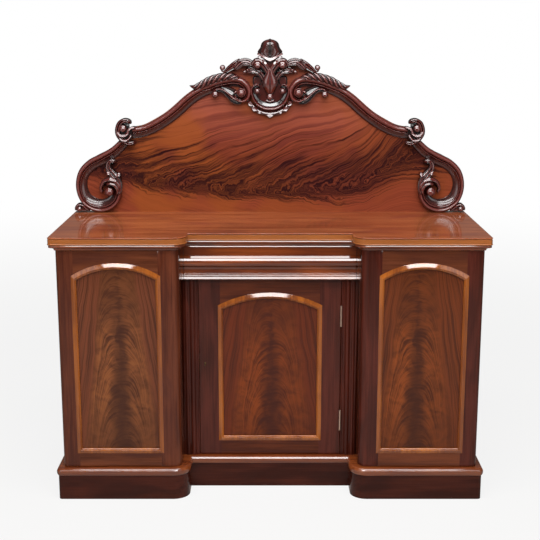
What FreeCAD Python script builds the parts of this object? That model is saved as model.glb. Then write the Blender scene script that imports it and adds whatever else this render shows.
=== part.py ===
import FreeCAD, Part
import os
from math import cos, hypot, pi, sin, sqrt

V = FreeCAD.Vector

# A mahogany breakfront sideboard: two pedestal cupboards with a set-back centre,
# a frieze drawer over the centre door, and a carved gallery on the back of the top.
# Millimetres. X runs to the right, Y to the back, Z up. The origin is on the floor,
# under the middle of the whole sideboard.

CUT = 1.0  # how far a cutter runs past the face that it opens

# Overall sizes
TOP_WIDTH = 1500.0
TOP_VISIBLE_DEPTH = 550.0  # front edge of the top to the gallery board
GALLERY_BOARD_THICKNESS = 22.0
BATTEN_THICKNESS = 16.0
PLINTH_HEIGHT = 88.0
PLINTH_MOULDING_HEIGHT = 26.0
CARCASS_HEIGHT = 780.0
BED_MOULDING_HEIGHT = 20.0
TOP_THICKNESS = 26.0
PEDESTAL_WIDTH = 417.0
CENTRE_RECESS = 116.0  # pedestal door face to centre door face

# How far the top and the plinth stand out from the carcass
TOP_OVERHANG = 22.0
TOP_RECESS_OVERHANG = 30.0
CENTRE_TOP_OVERHANG = 50.0
PLINTH_PROJECTION = 18.0
PLINTH_RECESS_PROJECTION = 25.0
PLINTH_NOSE = 6.0
TOP_CORNER_RADIUS = 12.0
TOP_RECESS_RADIUS = 56.0

# Edge of the top, from below: bead, broad band, groove and a thin fillet
TOP_BEAD = 5.0
TOP_BAND = 15.0
TOP_BAND_INSET = 1.5
TOP_GROOVE = 2.0
TOP_GROOVE_INSET = 3.5
TOP_FILLET_INSET = 0.5

# Bed moulding under the top: a cove with a torus above it
BED_SET_BACK = 3.0
BED_TORUS_RADIUS = 5.0
BED_FILLET = 2.0
BED_FOOT_SET_BACK = 20.0

# Boards
SIDE_THICKNESS = 20.0
BOARD_THICKNESS = 18.0
BACK_THICKNESS = 12.0
BACK_REBATE = 8.0
PLINTH_BOARD_THICKNESS = 22.0
RAIL_WIDTH = 66.0  # plinth moulding and bed moulding, from the nose inwards
BEARER_WIDTH = 40.0
BEARER_DEPTH = 40.0
SHELF_FRONT_GAP = 30.0

# Pedestal doors
DOOR_THICKNESS = 28.0
CLOSING_THICKNESS = 36.0
CLOSING_ROUND = 34.0
DOOR_GAP = 2.5  # above and below a door
DOOR_BACK_GAP = 1.5
DOOR_PANEL_RECESS = 8.0
DOOR_PANEL_THICKNESS = 10.0
PANEL_REBATE = 9.0
PANEL_REBATE_CLEARANCE = 1.0
MOULDING_LAP = 8.0  # moulding over the face of the frame
MOULDING_PROUD = 6.0
MOULDING_FILLET = 2.5
MOULDING_LIP = 1.0
MOULDING_SIDE_WIDTH = 17.0
MOULDING_ARCH_WIDTH = 22.0
CLOSING_STILE_WIDTH = 62.0  # from the door's edge to the moulding
HANGING_STILE_WIDTH = 51.0
PEDESTAL_BOTTOM_RAIL = 48.5
PEDESTAL_TOP_RAIL = 41.5  # at the arch's apex
PEDESTAL_ARCH_RISE = 45.0

# Centre door
CENTRE_DOOR_THICKNESS = 24.0
CENTRE_DOOR_SIDE_GAP = 1.5
CENTRE_STILE_WIDTH = 67.0
CENTRE_BOTTOM_RAIL = 51.5
CENTRE_TOP_RAIL = 46.5
CENTRE_ARCH_RISE = 46.0

PILASTER_WIDTH = 58.5
# Reeded pilasters beside the centre door; each reed runs from and to a distance from
# the door's edge and stands proud by the third number
PILASTER_REEDS = [(0.5, 6.0, 3.0), (10.5, 14.5, 1.5), (15.0, 31.5, 6.0), (37.0, 49.0, 4.5)]

# Frieze: heights of its members from the top down, then how far each is set back
# from the edge of the top
FRIEZE_BEAD = 8.0
FRIEZE_FLAT = 21.0
FRIEZE_SWELL = 41.0
FRIEZE_HOLLOW = 32.0
FRIEZE_ASTRAGAL = 9.0
FRIEZE_LIP = 10.5
FRIEZE_BEAD_SET_BACK = 24.0
FRIEZE_FLAT_SET_BACK = 28.0
FRIEZE_SWELL_SET_BACK = 11.0
FRIEZE_SHOULDER_SET_BACK = 22.0
FRIEZE_HOLLOW_SET_BACK = 34.0
FRIEZE_ASTRAGAL_SET_BACK = 21.0
FRIEZE_LIP_SET_BACK = 18.5
FRIEZE_QUIRK = 3.0

# Frieze drawer
DIVIDER_THICKNESS = 18.0
DIVIDER_ABOVE_LIP = 15.0
END_BLOCK_WIDTH = 9.5  # fixed end of the frieze beside the drawer
DRAWER_FRONT_GAP = 1.5
DRAWER_BACK_PLANE = 12.0  # back of the drawer front, behind the centre door face
DRAWER_SIDE_THICKNESS = 12.0
DRAWER_SIDE_INSET = 4.0
DRAWER_BACK_SPACE = 25.0  # behind the shut drawer
DRAWER_BOTTOM_THICKNESS = 8.0
DRAWER_BOTTOM_UP = 6.0
DRAWER_BACK_LOWER = 8.0
RUNNING_CLEARANCE = 0.3
GUIDE_HEIGHT = 14.0
GUIDE_FRONT_GAP = 2.0
KICKER_WIDTH = 30.0
KICKER_HEIGHT = 15.4

# Brasswork
PIVOT_PIN_RADIUS = 3.0
PIVOT_PIN_LENGTH = 12.0
PIVOT_PLATE_LENGTH = 44.0
PIVOT_PLATE_WIDTH = 18.0
PIVOT_PLATE_THICKNESS = 2.0
PIVOT_BOSS_RADIUS = 6.0
PIVOT_PLATE_MARGIN = 2.0
PIVOT_BORE_SPARE = 2.0
PIN_CLEARANCE = 0.06
HINGE_LENGTH = 75.0
HINGE_LEAF_WIDTH = 20.0
HINGE_LEAF_THICKNESS = 1.8
HINGE_KNUCKLE_RADIUS = 3.6
HINGE_PIN_RADIUS = 1.6
HINGE_KNUCKLES = 5
HINGE_KNUCKLE_GAP = 0.3
HINGE_RECESS_CLEARANCE = 0.5
HINGE_WEB_REACH = 1.0
HINGE_AXIS_OUT = 1.2  # pin axis in front of the door face
UPPER_HINGE_DROP = 132.5  # below the door's top
LOWER_HINGE_RISE = 128.5  # above the door's bottom
LOCK_RISE = 343.5
KEYHOLE_FROM_EDGE = 20.0
KEYHOLE_RADIUS = 2.4
KEYHOLE_SLOT_WIDTH = 2.4
KEYHOLE_SLOT_LENGTH = 9.0
ESCUTCHEON_WALL = 1.0
ESCUTCHEON_DEPTH = 3.0
LOCK_CASE_WIDTH = 34.0
LOCK_CASE_HEIGHT = 62.0
LOCK_CASE_THICKNESS = 11.0
LOCK_WALL = 1.5
BOLT_HEIGHT = 20.0
BOLT_THICKNESS = 6.0
BOLT_LENGTH = 24.0
BOLT_THROW = 8.0
BOLT_CLEARANCE = 0.3
BOLT_END_SPARE = 2.0
STRIKE_THICKNESS = 1.5
STRIKE_MARGIN = 5.0
CATCH_WIDTH = 14.0
CATCH_DEPTH = 26.0
CATCH_THICKNESS = 1.2
CATCH_STUD_RADIUS = 3.0
CATCH_STUD_LENGTH = 15.0
CATCH_CLEARANCE = 1.3
CATCH_ROSE_RADIUS = 6.6
CATCH_SET_BACK = 4.0
CATCH_PRONG_BELOW = 3.0
CATCH_Z_DROP = 16.0

# Gallery: half outline and carved work, as (x from the middle, height above the top)
GALLERY_END_INSET = 9.0  # the ear's widest point from the end of the top
GALLERY_CREST_X = 300.0  # up to here the carving keeps its place in the middle
GALLERY_EAR_X = 495.0  # from here on it keeps its place from the end of the top
RAIL_PROUD = 22.0
RAIL_BASE_PROUD = 13.0
RAIL_CROWN_SHARE = 0.55
CARVED_BASE_SHARE = 0.65  # of the carving's height
CARVED_CROWN_SHARE = 0.5  # of the carving's width
BATTEN_WIDTH = 60.0
BATTEN_FROM_SIDE = 19.0  # middle of a batten from the pedestal's inner side
BATTEN_DROP = 260.0
BATTEN_RISE = 300.0
BATTEN_SCREW_HEIGHTS = (-220.0, -90.0, 60.0, 160.0, 260.0)  # from the top's surface
SCREW_HEAD_RADIUS = 4.5
SCREW_SHANK_RADIUS = 2.25
SCREW_HEAD_DEPTH = 2.0
SCREW_SLOT_WIDTH = 1.0
SCREW_SLOT_DEPTH = 0.8
GALLERY_OUTLINE_EAR = [
    (656.0, 0.0), (694.0, 10.0), (724.0, 38.0), (740.0, 80.0), (741.0, 122.0),
    (726.0, 161.0), (693.0, 195.0), (645.0, 223.0), (597.0, 247.0), (568.0, 274.0),
]
GALLERY_OUTLINE_SHOULDER = [
    (552.0, 318.0), (515.0, 325.0), (486.0, 330.0), (442.0, 350.0), (397.0, 377.0),
    (356.0, 410.0), (322.0, 440.0), (290.0, 463.0), (255.0, 482.0), (216.0, 498.0),
    (180.0, 516.0), (152.0, 531.0), (128.0, 543.0), (104.0, 552.0), (60.0, 556.0),
    (0.0, 556.0),
]
# Middle line of a rail as (x, height, width)
UPPER_RAIL = [
    (513.0, 303.0, 42.0), (471.0, 311.0, 42.0), (429.0, 330.0, 43.0), (388.0, 355.0, 43.0),
    (343.0, 390.0, 43.0), (304.0, 425.0, 43.0), (267.0, 452.0, 42.0), (232.0, 470.0, 36.0),
]
EAR_RAIL = [
    (551.0, 266.0, 36.0), (590.0, 231.0, 40.0), (635.0, 204.0, 42.0), (680.0, 181.0, 42.0),
    (709.0, 150.0, 42.0), (719.0, 118.0, 42.0), (717.0, 82.0, 44.0), (702.0, 50.0, 46.0),
    (674.0, 29.0, 46.0), (640.0, 22.0, 42.0), (606.0, 31.0, 37.0), (585.0, 56.0, 32.0),
    (582.0, 86.0, 28.0), (596.0, 110.0, 23.0), (619.0, 117.0, 19.0), (638.0, 106.0, 15.0),
    (643.0, 90.0, 11.0),
]
VOLUTE_EYE = (627.0, 82.0, 15.0)
VOLUTE_LEAF = [
    (596.0, 112.0, 30.0), (590.0, 134.0, 44.0), (597.0, 152.0, 34.0), (612.0, 170.0, 30.0),
    (606.0, 186.0, 22.0), (590.0, 180.0, 12.0),
]
MID_SCROLL = [
    (524.0, 350.0, 12.0), (546.0, 352.0, 20.0), (561.0, 334.0, 24.0), (556.0, 306.0, 26.0),
    (538.0, 286.0, 28.0), (514.0, 280.0, 20.0), (499.0, 288.0, 10.0),
]
MID_SCROLL_EYE = (543.0, 322.0, 15.0)
FOOT_SCROLL = [
    (748.0, 7.0, 10.0), (738.0, 14.0, 18.0), (724.0, 18.0, 27.0), (706.0, 10.0, 18.0),
    (694.0, 5.0, 9.0),
]
CREST_SCROLL = [
    (292.0, 462.0, 14.0), (262.0, 470.0, 34.0), (230.0, 480.0, 44.0), (190.0, 492.0, 46.0),
    (150.0, 497.0, 42.0), (114.0, 488.0, 34.0), (92.0, 466.0, 28.0), (92.0, 438.0, 24.0),
    (112.0, 428.0, 20.0), (128.0, 440.0, 15.0),
]
CREST_SCROLL_EYE = (108.0, 456.0, 14.0)
CREST_LOWER_LEAF = [
    (126.0, 424.0, 12.0), (150.0, 430.0, 26.0), (178.0, 440.0, 30.0), (204.0, 444.0, 26.0),
    (212.0, 456.0, 12.0),
]
CREST_UPPER_LEAF = [
    (226.0, 506.0, 12.0), (196.0, 520.0, 24.0), (160.0, 538.0, 34.0), (120.0, 552.0, 36.0),
    (80.0, 556.0, 30.0), (54.0, 548.0, 22.0),
]
CREST_STEM = [
    (0.0, 436.0, 20.0), (0.0, 462.0, 52.0), (0.0, 492.0, 50.0), (0.0, 524.0, 56.0),
    (0.0, 556.0, 86.0), (0.0, 576.0, 96.0), (0.0, 600.0, 88.0),
]
CREST_PALM = [
    (26.0, 520.0, 16.0), (44.0, 542.0, 24.0), (66.0, 546.0, 26.0), (92.0, 534.0, 14.0),
]
CREST_CURL = (52.0, 560.0, 17.0)
FINIAL_SEAT = 4.0  # base of the finial above the stem
FINIAL_RADIUS = 33.0
FINIAL_HEIGHT = 47.0
FINIAL_SHOULDER = 8.0
FINIAL_FLANGE_RADIUS = 44.0
FINIAL_FOOT_RADIUS = 23.0
FINIAL_FOOT_DEPTH = 14.0
U_SCROLL = [
    (42.0, 473.0, 8.0), (54.0, 470.0, 12.0), (59.0, 454.0, 16.0), (57.0, 434.0, 17.0),
    (46.0, 415.0, 17.0), (26.0, 404.0, 17.0), (0.0, 401.0, 17.0),
]
U_SCROLL_EYE = (45.0, 459.0, 12.0)
CREST_DROP = [(-30.0, 398.0), (30.0, 398.0), (0.0, 362.0)]
CREST_PROUD = 40.0
SCROLL_PROUD = 34.0
PALM_PROUD = 32.0
LEAF_PROUD = 30.0
LOWER_LEAF_PROUD = 27.0
DROP_PROUD = 20.0

# Planes and lines worked out from the sizes above
TOP_DEPTH = TOP_VISIBLE_DEPTH + GALLERY_BOARD_THICKNESS
NOSE_PROUD = PLINTH_PROJECTION + PLINTH_NOSE - TOP_OVERHANG
TOP_FRONT_Y = -(NOSE_PROUD + TOP_DEPTH + BATTEN_THICKNESS) / 2 + NOSE_PROUD
TOP_BACK_Y = TOP_FRONT_Y + TOP_DEPTH
BOARD_FACE_Y = TOP_FRONT_Y + TOP_VISIBLE_DEPTH
DOOR_FACE_Y = TOP_FRONT_Y + TOP_OVERHANG
CENTRE_FACE_Y = DOOR_FACE_Y + CENTRE_RECESS
TOP_RECESS_Y = CENTRE_FACE_Y - CENTRE_TOP_OVERHANG
PLINTH_FRONT_Y = DOOR_FACE_Y - PLINTH_PROJECTION
PLINTH_RECESS_Y = CENTRE_FACE_Y - PLINTH_PROJECTION
BASE_Z = PLINTH_HEIGHT + PLINTH_MOULDING_HEIGHT
CARCASS_TOP_Z = BASE_Z + CARCASS_HEIGHT
TOP_UNDER_Z = CARCASS_TOP_Z + BED_MOULDING_HEIGHT
TOP_Z = TOP_UNDER_Z + TOP_THICKNESS
TOP_X = TOP_WIDTH / 2
OUTER_X = TOP_X - TOP_OVERHANG
INNER_X = OUTER_X - PEDESTAL_WIDTH
TOP_INNER_X = INNER_X - TOP_RECESS_OVERHANG
PLINTH_X = OUTER_X + PLINTH_PROJECTION
PLINTH_INNER_X = INNER_X - PLINTH_RECESS_PROJECTION
GALLERY_SHIFT = TOP_X - GALLERY_END_INSET - max(x for x, h in GALLERY_OUTLINE_EAR)
FINIAL_BASE = CREST_STEM[-1][1] + FINIAL_SEAT
INSIDE_FRONT_Y = DOOR_FACE_Y + CLOSING_THICKNESS + DOOR_BACK_GAP
BACK_PANEL_Y = TOP_BACK_Y - BACK_THICKNESS
PIVOT_X = OUTER_X - DOOR_THICKNESS / 2
PIVOT_Y = DOOR_FACE_Y + DOOR_THICKNESS / 2
DOOR_BOTTOM_Z = BASE_Z + DOOR_GAP
DOOR_TOP_Z = CARCASS_TOP_Z - DOOR_GAP
PEDESTAL_MOULDING_INNER_X = INNER_X + CLOSING_STILE_WIDTH
PEDESTAL_MOULDING_OUTER_X = OUTER_X - HANGING_STILE_WIDTH
BATTEN_X = INNER_X + BATTEN_FROM_SIDE
CENTRE_DOOR_HALF_WIDTH = INNER_X - PILASTER_WIDTH - CENTRE_DOOR_SIDE_GAP
CENTRE_DOOR_BACK_Y = CENTRE_FACE_Y + CENTRE_DOOR_THICKNESS
CENTRE_INSIDE_Y = CENTRE_DOOR_BACK_Y + DOOR_BACK_GAP
HINGE_X = CENTRE_DOOR_HALF_WIDTH + CENTRE_DOOR_SIDE_GAP / 2
HINGE_Y = CENTRE_FACE_Y - HINGE_AXIS_OUT
DRAWER_PLANE_Y = CENTRE_FACE_Y + DRAWER_BACK_PLANE
DRAWER_FRONT_TOP = CARCASS_TOP_Z - DRAWER_FRONT_GAP
DRAWER_FRONT_BOTTOM = (DRAWER_FRONT_TOP - FRIEZE_BEAD - FRIEZE_FLAT - FRIEZE_SWELL
                       - FRIEZE_HOLLOW - FRIEZE_ASTRAGAL - FRIEZE_LIP)
DIVIDER_TOP = DRAWER_FRONT_BOTTOM + DIVIDER_ABOVE_LIP
CENTRE_DOOR_TOP = DIVIDER_TOP - DIVIDER_THICKNESS - DOOR_GAP
UPPER_HINGE_Z = CENTRE_DOOR_TOP - UPPER_HINGE_DROP
LOWER_HINGE_Z = DOOR_BOTTOM_Z + LOWER_HINGE_RISE
LOCK_Z = DOOR_BOTTOM_Z + LOCK_RISE
DRAWER_HALF_WIDTH = INNER_X - END_BLOCK_WIDTH - DRAWER_FRONT_GAP
DRAWER_BOX_X = DRAWER_HALF_WIDTH - DRAWER_SIDE_INSET
DRAWER_BOX_Z = DIVIDER_TOP + RUNNING_CLEARANCE
DRAWER_BOX_HEIGHT = CARCASS_TOP_Z - KICKER_HEIGHT - RUNNING_CLEARANCE - DRAWER_BOX_Z
DRAWER_BOX_DEPTH = BACK_PANEL_Y - DRAWER_PLANE_Y - DRAWER_BACK_SPACE
BOLT_X = -CENTRE_DOOR_HALF_WIDTH


def box(x0, x1, y0, y1, z0, z1):
    """A box between two opposite corners."""
    return Part.makeBox(x1 - x0, y1 - y0, z1 - z0, V(x0, y0, z0))


def mirrored(shape):
    """The same piece on the other side of the sideboard."""
    return shape.mirror(V(0, 0, 0), V(1, 0, 0))


def group(solids):
    """Separate solids kept in one node."""
    return Part.makeCompound(list(solids))


def fused(solids):
    """One solid from overlapping or touching ones, without leftover seams."""
    result = solids[0]
    for other in solids[1:]:
        result = result.fuse(other)
    return result.removeSplitter()


def upright_cylinder(x, y, z0, z1, radius):
    """A vertical cylinder."""
    return Part.makeCylinder(radius, z1 - z0, V(x, y, z0))


def line(a, b):
    """A straight edge."""
    return Part.LineSegment(V(*a), V(*b)).toShape()


def arc(a, middle, b):
    """A circular edge through three points."""
    return Part.Arc(V(*a), V(*middle), V(*b)).toShape()


def prism(edges, way):
    """The closed outline pushed along a vector."""
    return Part.Face(Part.Wire(edges)).extrude(V(*way))


def corner(cx, cy, radius, x_sign, y_sign, z):
    """Middle point of a rounded corner whose centre is (cx, cy)."""
    reach = radius / sqrt(2.0)
    return (cx + x_sign * reach, cy + y_sign * reach, z)


# Plan of the breakfront top, drawn in by an inset
def top_slab(inset, z0, z1):
    """The whole breakfront outline, from z0 to z1."""
    ox = TOP_X - inset
    ix = TOP_INNER_X + inset
    fy = TOP_FRONT_Y + inset
    ry = TOP_RECESS_Y + inset
    ro = TOP_CORNER_RADIUS - inset
    ri = TOP_RECESS_RADIUS - inset
    edges = []
    for s in (1, -1):
        edges.append(line((s * ox, TOP_BACK_Y, z0), (s * ox, fy + ro, z0)))
        edges.append(arc((s * ox, fy + ro, z0), corner(s * (ox - ro), fy + ro, ro, s, -1, z0),
                         (s * (ox - ro), fy, z0)))
        edges.append(line((s * (ox - ro), fy, z0), (s * (ix + ri), fy, z0)))
        edges.append(arc((s * (ix + ri), fy, z0), corner(s * (ix + ri), fy + ri, ri, -s, -1, z0),
                         (s * ix, fy + ri, z0)))
        edges.append(line((s * ix, fy + ri, z0), (s * ix, ry, z0)))
    edges.append(line((ix, ry, z0), (-ix, ry, z0)))
    edges.append(line((ox, TOP_BACK_Y, z0), (-ox, TOP_BACK_Y, z0)))
    outline = Part.Wire(Part.__sortEdges__(edges))
    return Part.Face(outline).extrude(V(0, 0, z1 - z0))


def top_board():
    """The top, with its stepped edge."""
    z1 = TOP_UNDER_Z + TOP_BEAD
    z2 = z1 + TOP_BAND
    z3 = z2 + TOP_GROOVE
    layers = [
        top_slab(0.0, TOP_UNDER_Z, z1),
        top_slab(TOP_BAND_INSET, z1, z2),
        top_slab(TOP_GROOVE_INSET, z2, z3),
        top_slab(TOP_FILLET_INSET, z3, TOP_Z),
    ]
    return fused(layers)


# Mouldings that follow the plan of one pedestal: the right one, mirrored for the left
def profile_face(profile, origin, outward):
    """The section (outward, z) set upright at a plan point."""
    points = [V(origin[0] + u * outward[0], origin[1] + u * outward[1], z) for u, z in profile]
    return Part.Face(Part.makePolygon(points + [points[0]]))


def plan_prism(points, z0, z1):
    """An upright prism on plan points."""
    loop = [V(x, y, z0) for x, y in points]
    return Part.Face(Part.makePolygon(loop + [loop[0]])).extrude(V(0, 0, z1 - z0))


def pedestal_run(profile, outer_x, inner_x, front_y, outer_radius, inner_radius, end_y):
    """Side, outer corner, front, inner corner and inner return of a moulding."""
    far = TOP_DEPTH - outer_radius - RAIL_WIDTH
    z0 = min(z for u, z in profile) - CUT
    z1 = max(z for u, z in profile) + CUT
    ax, ay = outer_x - outer_radius, front_y + outer_radius
    bx, by = inner_x + inner_radius, front_y + inner_radius
    meet = (ax - bx + by - ay) / 2
    side_zone = plan_prism([(ax, ay), (ax + far, ay), (ax + far, TOP_BACK_Y + CUT),
                            (ax - far, TOP_BACK_Y + CUT), (ax - far, ay + far)], z0, z1)
    front_zone = plan_prism([(ax, ay), (ax - meet, ay + meet), (bx, by), (bx, by - far),
                             (ax, ay - far)], z0, z1)
    back_zone = plan_prism([(bx, by), (bx - far, by), (bx - far, by + far),
                            (bx + far, by + far)], z0, z1)
    side = profile_face(profile, (outer_x, TOP_BACK_Y), (1, 0))
    side = side.extrude(V(0, front_y - TOP_BACK_Y, 0)).common(side_zone)
    turn = profile_face(profile, (outer_x, ay), (1, 0))
    turn = turn.common(box(ax, ax + far, ay - CUT, ay + CUT, z0, z1)).Faces[0]
    turn = turn.revolve(V(ax, ay, 0), V(0, 0, 1), -90)
    front = profile_face(profile, (outer_x, front_y), (0, -1))
    front = front.extrude(V(inner_x - outer_x, 0, 0)).common(front_zone)
    bend = profile_face(profile, (bx, front_y), (0, -1))
    bend = bend.common(box(bx - CUT, bx + CUT, by - far, by, z0, z1)).Faces[0]
    bend = bend.revolve(V(bx, by, 0), V(0, 0, 1), -90)
    back = profile_face(profile, (inner_x, front_y), (-1, 0))
    back = back.extrude(V(0, end_y - front_y, 0)).common(back_zone)
    return [side, turn, front, bend, back]


def mitre_cutter(x, y, z0, z1, keep_front):
    """Everything on one side of the diagonal plane through an inner corner at x > 0."""
    reach = TOP_DEPTH
    s = 1 if keep_front else -1
    a = V(x - reach, y - reach, z0)
    b = V(x + reach, y + reach, z0)
    c = V(x + reach - s * reach, y + reach + s * reach, z0)
    d = V(x - reach - s * reach, y - reach + s * reach, z0)
    return Part.Face(Part.makePolygon([a, b, c, d, a])).extrude(V(0, 0, z1 - z0))


def moulding_set(profile, outer_x, inner_x, front_y, recess_y, outer_radius, inner_radius):
    """Both pedestal runs and the centre length, mitred where they meet."""
    heights = [z for u, z in profile]
    reach = RAIL_WIDTH
    z0 = min(heights) - CUT
    z1 = max(heights) + CUT
    run = pedestal_run(profile, outer_x, inner_x, front_y, outer_radius, inner_radius,
                       recess_y + reach)
    run[-1] = run[-1].cut(mitre_cutter(inner_x, recess_y, z0, z1, True))
    centre = profile_face(profile, (inner_x + reach, recess_y), (0, -1))
    centre = centre.extrude(V(-2 * (inner_x + reach), 0, 0))
    cutter = mitre_cutter(inner_x, recess_y, z0, z1, False)
    centre = centre.cut(cutter).cut(mirrored(cutter))
    return run + [mirrored(s) for s in run] + [centre]


def rear_rail(nose_x, z0, z1):
    """Plain rail that closes a moulding's frame at the back."""
    x = nose_x - RAIL_WIDTH
    return box(-x, x, TOP_BACK_Y - PLINTH_BOARD_THICKNESS, TOP_BACK_Y, z0, z1)


def half_round(nose, z_middle, radius, count):
    """Points of a rounded nose from bottom to top, as (outward, z)."""
    turns = [-pi / 2 + pi * i / count for i in range(count + 1)]
    return [(nose * cos(t), z_middle + radius * sin(t)) for t in turns]


def plinth_moulding():
    """Capping rail of the plinth, with a rounded nose."""
    radius = PLINTH_MOULDING_HEIGHT / 2
    nose = half_round(PLINTH_NOSE, PLINTH_HEIGHT + radius, radius, 10)
    inner = PLINTH_NOSE - RAIL_WIDTH
    profile = [(inner, PLINTH_HEIGHT)] + nose + [(inner, BASE_Z)]
    rails = moulding_set(profile, PLINTH_X, PLINTH_INNER_X, PLINTH_FRONT_Y,
                         PLINTH_RECESS_Y, TOP_CORNER_RADIUS, TOP_RECESS_RADIUS)
    return group(rails + [rear_rail(PLINTH_X + PLINTH_NOSE, PLINTH_HEIGHT, BASE_Z)])


def bed_moulding():
    """Cove and torus under the top, set back from its edge."""
    z0 = CARCASS_TOP_Z
    z1 = TOP_UNDER_Z
    r = BED_TORUS_RADIUS
    torus_z = z1 - r - BED_FILLET / 2
    cove_run = BED_FOOT_SET_BACK - BED_SET_BACK - r
    cove_rise = torus_z - r - z0 - BED_FILLET
    cove = []
    for i in range(7):
        t = pi / 2 * i / 6
        cove.append((-BED_FOOT_SET_BACK + cove_run * (1 - cos(t)),
                     z0 + BED_FILLET + cove_rise * sin(t)))
    torus = [(-BED_SET_BACK - r + r * cos(t), torus_z + r * sin(t))
             for t in [-pi / 2 + pi * i / 8 for i in range(1, 9)]]
    profile = [(-RAIL_WIDTH, z0), (-BED_FOOT_SET_BACK, z0)] + cove + torus
    profile += [(-BED_SET_BACK - r, z1), (-RAIL_WIDTH, z1)]
    rails = moulding_set(profile, TOP_X, TOP_INNER_X, TOP_FRONT_Y, TOP_RECESS_Y,
                         TOP_CORNER_RADIUS, TOP_RECESS_RADIUS)
    return group(rails + [rear_rail(TOP_X, z0, z1)])


# Plinth
def plinth_right():
    """Side, front, curved corner blocks and inner return of one pedestal plinth."""
    t = PLINTH_BOARD_THICKNESS
    profile = [(0.0, 0.0), (0.0, PLINTH_HEIGHT), (-t, PLINTH_HEIGHT), (-t, 0.0)]
    return group(pedestal_run(profile, PLINTH_X, PLINTH_INNER_X, PLINTH_FRONT_Y,
                              TOP_CORNER_RADIUS, TOP_RECESS_RADIUS, PLINTH_RECESS_Y + t))


def plinth_centre():
    """Front board of the centre and the long back rail."""
    front = box(-PLINTH_INNER_X, PLINTH_INNER_X, PLINTH_RECESS_Y,
                PLINTH_RECESS_Y + PLINTH_BOARD_THICKNESS, 0.0, PLINTH_HEIGHT)
    rail_x = PLINTH_X - PLINTH_BOARD_THICKNESS
    back = box(-rail_x, rail_x, TOP_BACK_Y - PLINTH_BOARD_THICKNESS, TOP_BACK_Y,
               0.0, PLINTH_HEIGHT)
    return group([front, back])


def plinth_bearers():
    """Bearers under the inner sides, and glue blocks in the back corners."""
    half = BEARER_WIDTH / 2
    z0 = PLINTH_HEIGHT - BEARER_DEPTH
    front_y = PLINTH_RECESS_Y + PLINTH_BOARD_THICKNESS
    rail_y = PLINTH_RECESS_Y - PLINTH_NOSE + RAIL_WIDTH
    back_y = TOP_BACK_Y - PLINTH_BOARD_THICKNESS
    x = INNER_X + SIDE_THICKNESS / 2
    bearer = fused([box(x - half, x + half, front_y, back_y, z0, PLINTH_HEIGHT),
                    box(x - half, x + half, rail_y, back_y, PLINTH_HEIGHT, BASE_Z)])
    corner_x = PLINTH_X - PLINTH_BOARD_THICKNESS
    block = box(corner_x - BEARER_WIDTH, corner_x, back_y - BEARER_WIDTH, back_y,
                z0, PLINTH_HEIGHT)
    return group([bearer, block, mirrored(bearer), mirrored(block)])


# Carcass
def side_board(x, front_y, rebated):
    """One upright side; each side in rebated, -1 or 1, has a rebate for a back panel."""
    board = box(x, x + SIDE_THICKNESS, front_y, TOP_BACK_Y, BASE_Z, CARCASS_TOP_Z)
    middle = x + SIDE_THICKNESS / 2
    for s in rebated:
        near = middle + s * (SIDE_THICKNESS / 2 - BACK_REBATE)
        far = near + s * (BACK_REBATE + CUT)
        board = board.cut(box(min(near, far), max(near, far), BACK_PANEL_Y, TOP_BACK_Y + CUT,
                              BASE_Z - CUT, CARCASS_TOP_Z + CUT))
    return board


def pedestal_boards(front_y, z0, z1):
    """A board between the sides of each pedestal."""
    right = box(INNER_X + SIDE_THICKNESS, OUTER_X - SIDE_THICKNESS, front_y, BACK_PANEL_Y, z0, z1)
    return group([mirrored(right), right])


def centre_board(front_y, z0, z1):
    """A board between the pedestals."""
    return box(-INNER_X, INNER_X, front_y, BACK_PANEL_Y, z0, z1)


def back_panels():
    """Thin boards let into the rebates behind each cupboard."""
    near = INNER_X + SIDE_THICKNESS - BACK_REBATE
    far = OUTER_X - SIDE_THICKNESS + BACK_REBATE
    right = box(near, far, BACK_PANEL_Y, TOP_BACK_Y, BASE_Z, CARCASS_TOP_Z)
    middle = INNER_X + BACK_REBATE
    centre = box(-middle, middle, BACK_PANEL_Y, TOP_BACK_Y, BASE_Z, CARCASS_TOP_Z)
    return group([mirrored(right), centre, right])


def drawer_guides():
    """Strips beside the drawer and kickers above its sides."""
    y0 = DRAWER_PLANE_Y + GUIDE_FRONT_GAP
    y1 = BACK_PANEL_Y
    guide = box(DRAWER_BOX_X + RUNNING_CLEARANCE, INNER_X, y0, y1,
                DIVIDER_TOP, DIVIDER_TOP + GUIDE_HEIGHT)
    kicker = box(INNER_X - KICKER_WIDTH, INNER_X, y0, y1, CARCASS_TOP_Z - KICKER_HEIGHT,
                 CARCASS_TOP_Z)
    return group([guide, kicker, mirrored(guide), mirrored(kicker)])


# Reeded pilasters
def pilaster_right():
    """Bead, fillet, broad reed and narrow reed side by side, run up the carcass front."""
    x0 = CENTRE_DOOR_HALF_WIDTH + CENTRE_DOOR_SIDE_GAP
    base_y = CENTRE_FACE_Y
    back_y = CENTRE_INSIDE_Y
    edges = []
    here = (x0, base_y, BASE_Z)
    for left, right, proud in PILASTER_REEDS:
        a = (x0 + left, base_y, BASE_Z)
        b = (x0 + right, base_y, BASE_Z)
        top = (x0 + (left + right) / 2, base_y - proud, BASE_Z)
        edges.append(line(here, a))
        edges.append(arc(a, top, b))
        here = b
    edges.append(line(here, (INNER_X, base_y, BASE_Z)))
    edges.append(line((INNER_X, base_y, BASE_Z), (INNER_X, back_y, BASE_Z)))
    edges.append(line((INNER_X, back_y, BASE_Z), (x0, back_y, BASE_Z)))
    edges.append(line((x0, back_y, BASE_Z), (x0, base_y, BASE_Z)))
    height = DIVIDER_TOP - DIVIDER_THICKNESS - BASE_Z
    return prism(edges, (0, 0, height))


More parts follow.
